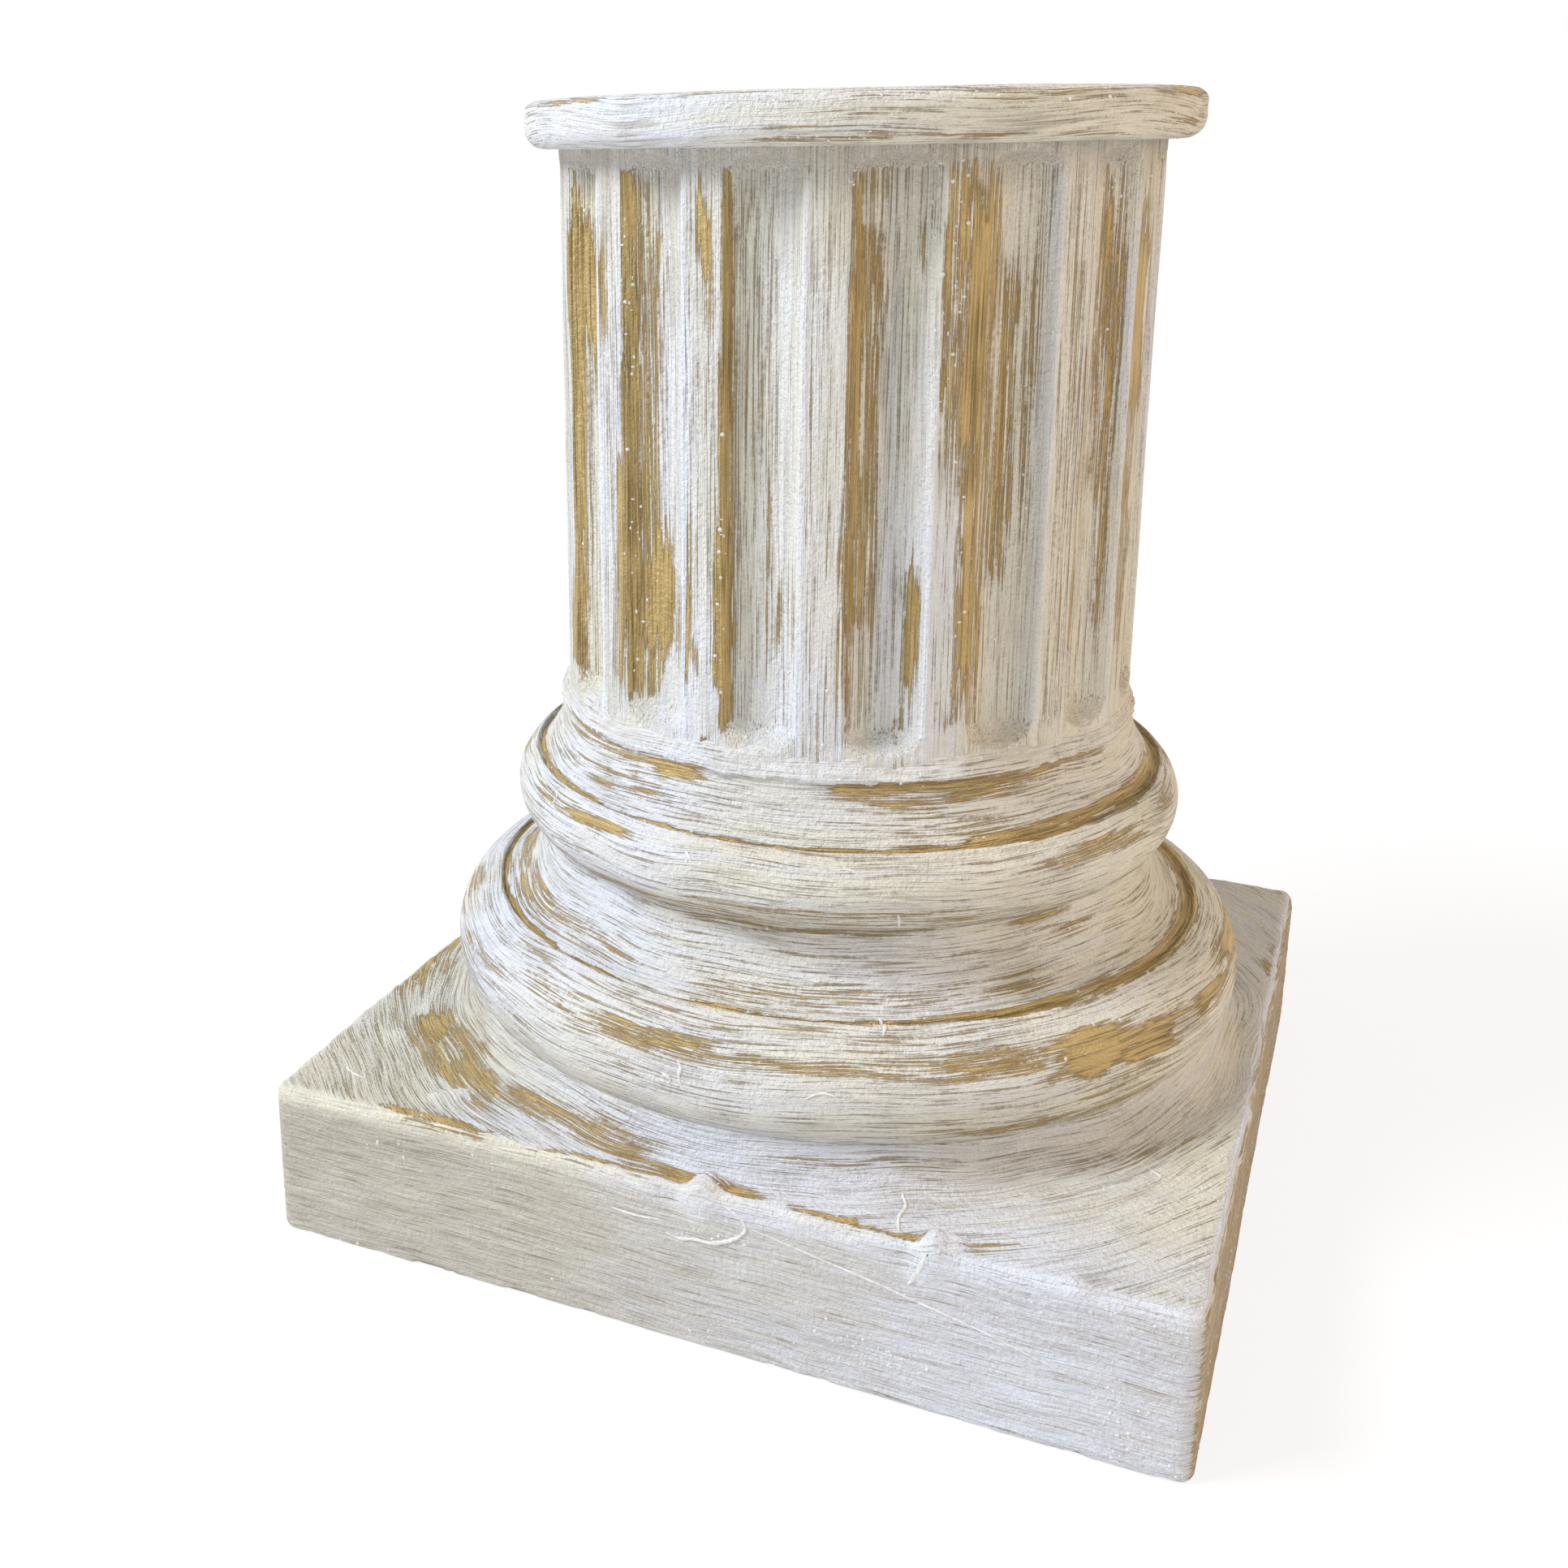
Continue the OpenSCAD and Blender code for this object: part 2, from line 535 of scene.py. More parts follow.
@dataclass(frozen=True)
class DryBrushedChalk:
    """Matte chalk paint dragged with a nearly dry bristle brush over gold metallic acrylic.

    The white lies thick and dull where the brush pressed, breaks into bristle lines where it
    ran dry, and leaves the gold bare in grooves and on sheltered arrises. Where it was
    thinned, and where shade is painted in, it greys towards wash_and_shade_grey; the warm
    white also serves as painted warm shade.
    """

    cool_white: str = "#E6EAF2"
    warm_white: str = "#EBE8D5"
    wash_and_shade_grey: str = "#B8B1A5"
    film: str = "#96815A"
    line: str = "#9A9180"
    gold_dark: str = "#796234"
    gold_light: str = "#C8AE74"
    chalk_roughness: float = 0.82
    gold_roughness: float = 0.5
    gold_metallic: float = 0.3
    hair_mm: float = 0.38
    bristle_mm: float = 0.95
    stroke_mm: float = 2.8

    def build(self) -> bpy.types.Material:
        """Makes the material from the paint attributes and three sizes of stroke noise.

        Returns:
            The new material.
        """
        material = bpy.data.materials.new("chalk_paint_dry_brushed_over_gold")
        w = wiring_of(material)
        for name in ("bare", "tone", "wash"):
            w.add(name, "ShaderNodeAttribute", output="Fac", attribute_name=name)
        w.add("strokes", "ShaderNodeAttribute", output="Vector", attribute_name="strokes")
        w.add("object", "ShaderNodeTexCoord", output="Object")
        for name, size, detail in (("stroke", self.stroke_mm, 2.0),
                                   ("bristle", self.bristle_mm, 2.0),
                                   ("hair", self.hair_mm, 1.0)):
            w.add(name, NOISE, {"Vector": "strokes", "Scale": 1.0 / size, "Detail": detail,
                                "Roughness": 0.6})
        # Specks about a millimetre across, where a dry brush skipped
        w.add("skip", NOISE, {"Vector": "object", "Scale": 0.7 / MM, "Detail": 3.0,
                              "Roughness": 0.65})
        w.add("cloud", NOISE, {"Vector": "object", "Scale": 0.04 / MM, "Detail": 2.0})
        total = "bare"
        for name, gain in (("stroke", 0.85), ("bristle", 1.2), ("hair", 2.4), ("skip", 0.8)):
            w.add(name + "_part", MATH, (name, gain, -0.5 * gain), operation="MULTIPLY_ADD")
            w.add("with_" + name, MATH, (total, name + "_part"), operation="ADD")
            total = "with_" + name
        for name, low, high in (("gold", 0.56, 0.92), ("thin", 0.15, 0.6)):
            w.add(name, RANGE, {"Value": total, "From Min": low, "From Max": high},
                  interpolation_type="SMOOTHSTEP")
        for name, value, low, high, least, most in (
                ("not_thick", "bare", -0.8, -0.4, 0.0, 1.0),
                ("near_gold", "bare", 0.1, 0.5, 0.0, 1.0),
                ("scratch", "hair_part", 0.2, 0.5, 0.0, 0.42),
                ("rough", "gold", 0.0, 1.0, self.chalk_roughness, self.gold_roughness)):
            w.add(name, RANGE, {"Value": value, "From Min": low, "From Max": high,
                                "To Min": least, "To Max": most})
        for name, operation, clamped, *values in (
                ("between", "MULTIPLY_ADD", False, "cloud", 0.7, "bristle"),
                ("cover", "MULTIPLY_ADD", True, "wash", -1.7, 1.0),
                ("open", "MULTIPLY", False, "cover", "not_thick"),
                ("wash_grain", "MULTIPLY_ADD", False, "hair_part", 0.55, "wash"),
                ("wash_share", "MULTIPLY_ADD", True, "bristle_part", 0.5, "wash_grain"),
                ("scratched", "MULTIPLY", False, "scratch", "wash"),
                ("shade_cloud", "ADD", False, "stroke", "cloud"),
                ("shade", "MULTIPLY_ADD", False, "hair_part", 0.7, "shade_cloud"),
                ("metal", "MULTIPLY", False, "gold", self.gold_metallic),
                ("combs", "MULTIPLY_ADD", False, "bristle", 0.9, "hair"),
                ("grained", "MULTIPLY_ADD", False, "skip", 2.0, "combs"),
                ("height", "MULTIPLY_ADD", False, "gold", -0.5, "grained")):
            w.add(name, MATH, tuple(values), operation=operation, use_clamp=clamped)
        w.add("valley", RANGE, {"Value": "between", "From Min": 0.78, "From Max": 0.58,
                                "To Max": 0.6}, interpolation_type="SMOOTHSTEP")
        w.add("lines", MATH, ("valley", "open"), operation="MULTIPLY")
        w.add("shine", RANGE, {"Value": "shade", "From Min": 0.55, "From Max": 1.15})
        # The white is greyed by a thin coat and by painted shade, and warmed in places as painted
        # warm shade.
        for name, share, below, above in (
                ("plain_white", "tone", self.cool_white, self.warm_white),
                ("white", "wash_share", "plain_white", self.wash_and_shade_grey),
                ("marked", "scratched", "white", self.film),
                ("combed", "lines", "marked", self.line),
                ("metal_paint", "shine", self.gold_dark, self.gold_light),
                ("veil", "near_gold", self.line, self.film),
                ("under", "gold", "veil", "metal_paint"),
                ("colour", "thin", "combed", "under")):
            below, above = (linear(c) if c.startswith("#") else c for c in (below, above))
            w.add(name, MIX, {0: share, 6: below, 7: above}, output=2, data_type="RGBA")
        w.add("bump", "ShaderNodeBump", {"Strength": 1.0, "Distance": 0.6 * MM,
                                         "Height": "height"}, output="Normal")
        w.add("paint", "ShaderNodeBsdfPrincipled",
              {"Base Color": "colour", "Metallic": "metal", "Roughness": "rough",
               "Normal": "bump"}, output="BSDF")
        w.add("end", "ShaderNodeOutputMaterial", {"Surface": "paint"})
        return material


@dataclass(frozen=True)
class DriedChalk:
    """Thick chalk paint that dried in crumbs and ridges: plain matte white, finely grained."""

    white: str = "#EFEFEE"
    shaded: str = "#D8D5CE"
    grain_mm: float = 1.4

    def build(self) -> bpy.types.Material:
        """Makes the material from one grain noise.

        Returns:
            The new material.
        """
        material = bpy.data.materials.new("dried_chalk_paint")
        w = wiring_of(material)
        w.add("object", "ShaderNodeTexCoord", output="Object")
        w.add("grain", NOISE, {"Vector": "object", "Scale": 1.0 / (self.grain_mm * MM),
                               "Detail": 3.0})
        w.add("share", RANGE, {"Value": "grain", "From Min": 0.35, "From Max": 0.65})
        w.add("colour", MIX, {0: "share", 6: linear(self.shaded), 7: linear(self.white)},
              output=2, data_type="RGBA")
        w.add("bump", "ShaderNodeBump", {"Strength": 0.5, "Distance": 0.1 * MM,
                                         "Height": "grain"}, output="Normal")
        w.add("paint", "ShaderNodeBsdfPrincipled",
              {"Base Color": "colour", "Roughness": 0.85, "Normal": "bump"}, output="BSDF")
        w.add("end", "ShaderNodeOutputMaterial", {"Surface": "paint"})
        return material


# ---------------------------------------------------------------- relief


@dataclass(frozen=True)
class Relief:
    """How high the casting's unevenness and the paint stand, in millimetres."""

    wobble: float = 0.22
    stroke: float = 0.07
    bristle: float = 0.045
    paint: float = 0.1
    grain: float = 0.02

    def lift(self, surface: Surface, bare: np.ndarray) -> np.ndarray:
        """Height of the skin over its plain form.

        Args:
            surface: Where the vertices are.
            bare: How bare each is of white paint.

        Returns:
            Heights in millimetres.
        """
        uneven = self.wobble * fractal(surface.place, 46.0, 3, 2)
        strokes = self.stroke * noise(surface.strokes, 1.3, surface.seed + 11)
        bristles = self.bristle * noise(surface.strokes, 0.6, surface.seed + 12)
        grain = self.grain * noise(surface.place, 1.2, 17)
        paint = self.paint * smooth(bare, 0.55, 0.2)
        return uneven + (strokes + bristles) * (0.4 + 0.6 * smooth(bare, 0.8, 0.1)) + grain + paint


def streaked(surface: Surface, bare: np.ndarray, base: float, sway: float) -> np.ndarray:
    """Adds the paint's own unevenness to the placed patches.

    Args:
        surface: Where the vertices are.
        bare: What the patches leave bare.
        base: How bare the plain paint is.
        sway: How much that varies from place to place.

    Returns:
        How bare each vertex is.
    """
    broad = fractal(surface.place, 34.0, surface.seed + 21, 2)
    lines = fractal(surface.strokes, 2.4, surface.seed + 22, 3)
    plain = base + sway * broad + 0.16 * lines
    return np.where(bare >= 0, np.maximum(plain, bare + 0.3 * plain), plain + bare)


# ---------------------------------------------------------------- sub-assemblies


@dataclass
class Skin:
    """What the four skins of the casting share."""

    half: float
    top: float
    relief: Relief = field(default_factory=Relief)

    def finish(self, piece: bpy.types.Object, surface: Surface, coat: Coat,
               paint: bpy.types.Material) -> bpy.types.Object:
        """Gives a skin its relief, paint and place in the frame.

        Args:
            piece: The skin in millimetres.
            surface: Where its vertices are.
            coat: Its relief and paint.
            paint: The finish.

        Returns:
            The finished piece.
        """
        coat.bare = coat.bare + 0.4 * smooth(coat.bare, 0.55, 0.85)
        moved = surface.place + surface.normal * coat.lift[:, None]
        MeshKit.store(piece, moved * MM, self.half, self.top)
        MeshKit.paint(piece.data, surface, coat)
        piece.data.materials.clear()
        piece.data.materials.append(paint)
        return attach(piece)


@dataclass(frozen=True)
class Bead:
    """A thin bead of dried paint: where it runs over a skin, and its half width.

    Each point is x, y and z on the plinth, or degrees round and a way along the outline on
    the base.
    """

    points: tuple[tuple[float, ...], ...]
    half_width: float

    def smooth_path(self) -> np.ndarray:
        """Cuts the path's corners three times.

        Returns:
            The points of the rounded path, shape (n, 2 or 3).
        """
        path = np.array(self.points, dtype=float)
        for _ in range(3):
            near = 0.75 * path[:-1] + 0.25 * path[1:]
            far = 0.25 * path[:-1] + 0.75 * path[1:]
            inner = np.stack([near, far], axis=1).reshape(-1, path.shape[1])
            path = np.concatenate([path[:1], inner, path[-1:]])
        return path


@dataclass
class DriedPaint:
    """Crumbs and beads of thick paint that dried on the casting."""

    half: float
    top: float
    smallest: float = 0.16
    largest: float = 0.65
    seed: int = 7

    def crumb_tree(self) -> bpy.types.NodeTree:
        """Builds the tree that scatters low lumps over a skin by its own density.

        Returns:
            The tree.
        """
        w = wiring_for("paint_crumb_scatter", {"Skin": "Geometry", "Smallest": "Float",
                                               "Largest": "Float", "Flatness": "Float",
                                               "Seed": "Int"})
        w.add("density", "GeometryNodeInputNamedAttribute", {"Name": "crumbs"})
        w.add("points", "GeometryNodeDistributePointsOnFaces",
              {"Mesh": "Skin", "Density": "density", "Seed": "Seed"})
        w.known["turn"] = w.known["points"].node.outputs["Rotation"]
        w.add("crumb", "GeometryNodeMeshIcoSphere", {"Radius": 1.0, "Subdivisions": 1})
        for name, seed in (("long", 1), ("wide", 2)):
            w.add(name, "FunctionNodeRandomValue", {2: "Smallest", 3: "Largest", "Seed": seed},
                  output=1, data_type="FLOAT")
        w.add("tall", MATH, ("Smallest", "Flatness"), operation="MULTIPLY")
        w.add("size", "ShaderNodeCombineXYZ", ("long", "wide", "tall"))
        w.add("lumps", "GeometryNodeInstanceOnPoints", {"Points": "points", "Instance": "crumb",
                                                        "Rotation": "turn", "Scale": "size"})
        return w.ending("lumps")

    def bead_tree(self) -> bpy.types.NodeTree:
        """Builds the tree that sweeps a tapering, lumpy bead along each line.

        Returns:
            The tree.
        """
        w = wiring_for("paint_bead_sweep", {"Lines": "Geometry", "Sides": "Int",
                                            "Lump Size": "Float"})
        w.add("curves", "GeometryNodeMeshToCurve", {"Mesh": "Lines"})
        w.add("profile", "GeometryNodeCurvePrimitiveCircle", {"Resolution": "Sides",
                                                              "Radius": 1.0})
        w.add("width", "GeometryNodeInputNamedAttribute", {"Name": "half_width"})
        w.add("along", "GeometryNodeSplineParameter", output="Factor")
        w.add("place", "GeometryNodeInputPosition")
        w.add("often", MATH, (1.0, "Lump Size"), operation="DIVIDE")
        w.add("lumpy", NOISE, {"Vector": "place", "Scale": "often", "Detail": 1.0})
        for name, operation, *values in (
                ("half_turn", "MULTIPLY", "along", pi),
                ("rise", "SINE", "half_turn"),
                ("rise_floor", "MAXIMUM", "rise", 0.02),
                ("taper", "POWER", "rise_floor", 0.4),
                ("swell", "MULTIPLY_ADD", "lumpy", 1.4, 0.2),
                ("tapered", "MULTIPLY", "width", "taper"),
                ("reach", "MULTIPLY", "tapered", "swell")):
            w.add(name, MATH, tuple(values), operation=operation)
        w.add("beads", "GeometryNodeCurveToMesh", {"Curve": "curves", "Profile Curve": "profile",
                                                   "Scale": "reach", "Fill Caps": True})
        return w.ending("beads")

    def clipped(self, piece: bpy.types.Object) -> bpy.types.Object:
        """Keeps a piece inside the casting's box and puts it on the body."""
        MeshKit.store(piece, MeshKit.read(piece)[0], self.half, self.top)
        return attach(piece)

    def crumbs(self, skins: list[bpy.types.Object], paint: bpy.types.Material) -> None:
        """Scatters crumbs over each skin.

        Args:
            skins: The finished skins, which carry the density.
            paint: The finish.
        """
        tree = self.crumb_tree()
        for count, skin in enumerate(skins):
            name = "dried_crumbs." + skin.name.split(".")[1]
            sizes = {"Smallest": self.smallest * MM, "Largest": self.largest * MM,
                     "Flatness": 1.3, "Seed": self.seed + count, "Material": paint}
            self.clipped(grown(name, tree, sizes, skin.data))

    def beads(self, skin: bpy.types.Object, beads: list[tuple[np.ndarray, float]],
              paint: bpy.types.Material) -> None:
        """Lays beads over a skin, each half sunk in it.

        Args:
            skin: The finished skin.
            beads: Each bead's path, in millimetres near the skin, and its half width.
            paint: The finish.
        """
        place, _ = MeshKit.read(skin)
        faces = [tuple(face.vertices) for face in skin.data.polygons]
        surface = BVHTree.FromPolygons(place.tolist(), faces)
        points, edges, widths = [], [], []
        for path, half_width in beads:
            first = len(points)
            points += [surface.find_nearest(Vector(point * MM))[0] for point in path]
            edges += [(i, i + 1) for i in range(first, len(points) - 1)]
            widths += [half_width * MM] * len(path)
        lines = bpy.data.meshes.new("bead_lines")
        lines.from_pydata(points, edges, [])
        stored = lines.attributes.new("half_width", "FLOAT", "POINT")
        stored.data.foreach_set("value", widths)
        name = "dried_beads." + skin.name.split(".")[1]
        sizes = {"Sides": 8, "Lump Size": 2.0 * MM, "Material": paint}
        self.clipped(grown(name, self.bead_tree(), sizes, lines))


def attach(piece: bpy.types.Object) -> bpy.types.Object:
    """Puts a finished piece on the casting's body, in place of the CAD node.

    Args:
        piece: The piece, in metres.

    Returns:
        The same piece.
    """
    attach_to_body(piece, BODY)
    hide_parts(NODE)
    LOG.info("%s: %d vertices, %d faces", piece.name, len(piece.data.vertices),
             len(piece.data.polygons))
    return piece


def warm_shade_tint(place: np.ndarray) -> np.ndarray:
    """How much warmer the white is painted towards +X, as painted warm shade on that side."""
    per_mm = 0.0065
    return per_mm * np.maximum(place[:, 0], -20.0)


def around(place: np.ndarray, across: np.ndarray) -> np.ndarray:
    """Stroke space for a brush that ran round the axis.

    Args:
        place: The vertices, in millimetres.
        across: How far each lies along the outline, across the strokes.

    Returns:
        Points in stroke space, shape (n, 3).
    """
    wander = 2.2 * fractal(place, 46.0, 61, 2)
    flat = place[:, :2] / Stretch.ROUND.value
    return np.stack([across + wander, flat[:, 0], flat[:, 1]], axis=1)


@dataclass
class Plinth(Skin):
    """Square plinth, and the sweep that rises from its top to the crease under the base.

    inset is the room that the faces leave for the relief, and rim_middle the height about
    which paint is heaped along the rim.
    """

    height: float = 45.5
    corner: float = 4.5
    low_edge: float = 1.5
    top_edge: float = 3.5
    crease: float = 57.0
    sweep_centre: tuple[float, float] = (121.0, 57.0)
    sweep_radii: tuple[float, float] = (8.8, 11.8)
    sweep_foot: float = 119.0
    inset: float = 0.6
    side_columns: int = 136
    corner_columns: int = 8
    wall_rows: int = 68
    top_rows: int = 60
    rim_middle: float = 44.0

    def outline(self) -> tuple[np.ndarray, np.ndarray]:
        """Follows the square round, from its front left corner on.

        Returns:
            Each column's place before the corner radius is added, and its outward direction.
        """
        reach = self.half - self.inset - self.corner
        core, out = [], []
        for side in range(4):
            c, s = round(cos(side * pi / 2)), round(sin(side * pi / 2))
            for step in range(self.side_columns):
                x = reach * (2.0 * step / self.side_columns - 1.0)
                core.append((x * c + reach * s, x * s - reach * c))
                out.append((s, -c))
            for step in range(self.corner_columns):
                a = pi / 2 * (side - 1.0 + step / self.corner_columns)
                core.append((reach * c + reach * s, reach * s - reach * c))
                out.append((cos(a), sin(a)))
        return np.array(core), np.array(out)

    def rings(self) -> tuple[np.ndarray, int]:
        """The rings of points, from the underside up to the crease.

        Returns:
            The rings, shape (rows, columns, 3), and the last row that is brushed as a wall.
        """
        core, out = self.outline()
        low = arc((-self.low_edge, self.low_edge), (self.low_edge, self.low_edge), 270, 360, 4)
        high = arc((-self.top_edge, self.height - self.top_edge),
                   (self.top_edge, self.top_edge), 0, 90, 6)
        walls = np.linspace(self.low_edge, self.height - self.top_edge, self.wall_rows)[1:-1]
        square = [np.column_stack([core + (self.corner + d) * out, np.full(len(core), z)])
                  for d, z in low + [(0.0, z) for z in walls] + high]
        under = square[0] * [0.95, 0.95, 1.0]
        edge = square[-1]
        angle = np.arctan2(edge[:, 1], edge[:, 0])
        circle = self.sweep_foot * np.column_stack([np.cos(angle), np.sin(angle)])
        shares = np.arange(1, self.top_rows + 1)[:, None, None] / self.top_rows
        flat = edge[:, :2] * (1.0 - shares) + circle * shares
        level = [np.column_stack([ring, np.full(len(ring), self.height)]) for ring in flat]
        sweep = arc(self.sweep_centre, self.sweep_radii, 270, 180, 40)
        sweep = [p for p in sweep if p[1] >= self.height][1::2]
        rise = [np.column_stack([r / self.sweep_foot * circle, np.full(len(circle), z)])
                for r, z in sweep]
        return np.array([under] + square + level + rise), len(square) - 2

    def build(self, paint: bpy.types.Material) -> bpy.types.Object:
        """Makes the plinth.

        Args:
            paint: The finish.

        Returns:
            The finished piece.
        """
        rings, last_wall = self.rings()
        piece = MeshKit.rings("column_section.plinth", rings, (0, 0, 0), (0, 0, self.crease))
        place, normal = MeshKit.read(piece)
        count, columns = rings.shape[:2]
        rows = np.append(np.repeat(np.arange(count), columns), [0, count - 1])
        on_top = rows > last_wall
        share_round = np.append(np.tile(np.arange(columns) / columns, count), [0, 0])
        half_a_side = 0.5 / 4
        turn = tau * (share_round - half_a_side)
        # The strokes' space wraps the four walls round a circle as long round as they are
        girth = 8.0 * self.half / tau / Stretch.FLAT.value
        wander = 1.2 * fractal(place, 34.0, 62, 2)
        level = np.stack([place[:, 2] + wander, girth * np.sin(turn), -girth * np.cos(turn)], 1)
        radius = np.hypot(place[:, 0], place[:, 1])
        above = around(place, radius - place[:, 2] + 5.0 * fractal(place, 60.0, 66, 2))
        strokes = np.where(on_top[:, None], above, level)
        top = Surface(place, normal, strokes, u=place[:, 0], v=place[:, 1], soft=(8.0, 2.4),
                      rag=(2.5, 1.3), seed=100, round_about=False, turned=on_top,
                      turned_strokes=above)
        wall = Surface(place, normal, strokes, u=place[:, 0], v=place[:, 2], soft=(4.0, 1.0),
                       rag=(3.0, 0.4), seed=130, round_about=False)
        return self.finish(piece, top, self.coat(top, wall, rows), paint)

    def coat(self, top: Surface, wall: Surface, rows: np.ndarray) -> Coat:
        """Works out the paint and the relief.

        Args:
            top: The plinth as its top and sweep are brushed.
            wall: The plinth as its four faces are brushed.
            rows: The ring that each vertex is on.

        Returns:
            The painted state.
        """
        place, strokes, on_top = top.place, top.strokes, top.turned
        cloud = clouds(place)
        # The face towards +X gets painted warm shade: warmer, greyer, and with more gold showing.
        shaded_right_face = smooth(top.normal[:, 0], 0.6, 0.95)
        left = smooth(place[:, 0], -50.0, -110.0)
        front = smooth(place[:, 1], -90.0, -118.0) * (1.0 - left)
        far_right_warm_shade = smooth(place[:, 0], 95.0, 118.0)
        top_bare = streaked(top, top.patches(PLINTH_TOP), base=-0.04, sway=0.14)
        wall_bare = streaked(wall, wall.patches(WALL_PATCHES), base=-0.78, sway=0.08)
        bare = np.where(on_top, top_bare + 0.14 * left, wall_bare + 0.75 * shaded_right_face)
        tone = 0.45 + 0.3 * cloud + tints(strokes)
        # On the top, the far +X side is warmed as painted warm shade.
        tone += np.where(on_top, 0.5 * left + 0.25 * far_right_warm_shade - 0.5 * front,
                         shaded_right_face - 0.005 * place[:, 0])
        # The faces are greyer than the top and less grey near their top edge; the face towards +X
        # is greyed further as painted shade.
        upper_wall = smooth(place[:, 2], 37.0, 44.0)
        wash = 0.52 - 0.0026 * place[:, 0] + 0.12 * cloud + 0.1 * noise(strokes, 1.4, 73)
        wash = np.where(on_top, 0.08 + 0.12 * cloud + 0.34 * left,
                        wash * (1.0 - 0.7 * upper_wall) + 0.6 * shaded_right_face)
        crumbs = np.maximum(top.patches(TOP_CRUMBS) * on_top, PLAIN_CRUMBS)
        crumbs = np.maximum(crumbs, wall.patches(WALL_CRUMBS) * ~on_top)
        crumbs = crumbs * (rows > 3)
        lift = self.relief.lift(top, bare)
        # Pits in the faces, and paint heaped along the rim of the top
        pits = smooth(noise(place, 2.2, 74), 0.55, 0.8) * ~on_top
        lift += 0.1 * noise(place, 5.0, 75) * ~on_top - 0.2 * pits
        radius = np.hypot(place[:, 0], place[:, 1])
        rim = smooth(np.abs(place[:, 2] - self.rim_middle), 3.5, 1.0)
        rim *= radius > self.sweep_foot - 1.0
        inward = self.half - np.maximum(np.abs(place[:, 0]), np.abs(place[:, 1]))
        rim *= smooth(inward + 1.2 * fractal(place, 6.0, 79, 2), 4.5, 2.5)
        lift += 0.4 * rim * fractal(place, 5.0, 78, 3)
        bare -= 0.25 * rim * (bare < 0.3)
        wash *= 1.0 - 0.7 * rim
        # Chips out of the bottom edge, and lumps and dents where paint dripped; the dents get brown
        # film as painted shade
        chipped = smooth(place[:, 2], 2.6, 0.6) * smooth(fractal(place, 7.0, 76, 3), 0.1, 0.7)
        lift -= 0.9 * chipped
        for x, y, z, size, tall in PLINTH_LUMPS:
            away = np.linalg.norm(place - [x, y, z], axis=1) / size
            swell = np.exp(-away * away)
            lift += tall * swell * (1.0 + 0.35 * noise(place, 2.2, 77))
            bare -= 0.5 * np.sign(tall) * swell
            wash *= 1.0 - 0.9 * swell
        lift[(rows <= 1) | (place[:, 2] <= 0.0)] = 0.0
        return Coat(bare, tone, wash, crumbs, lift)


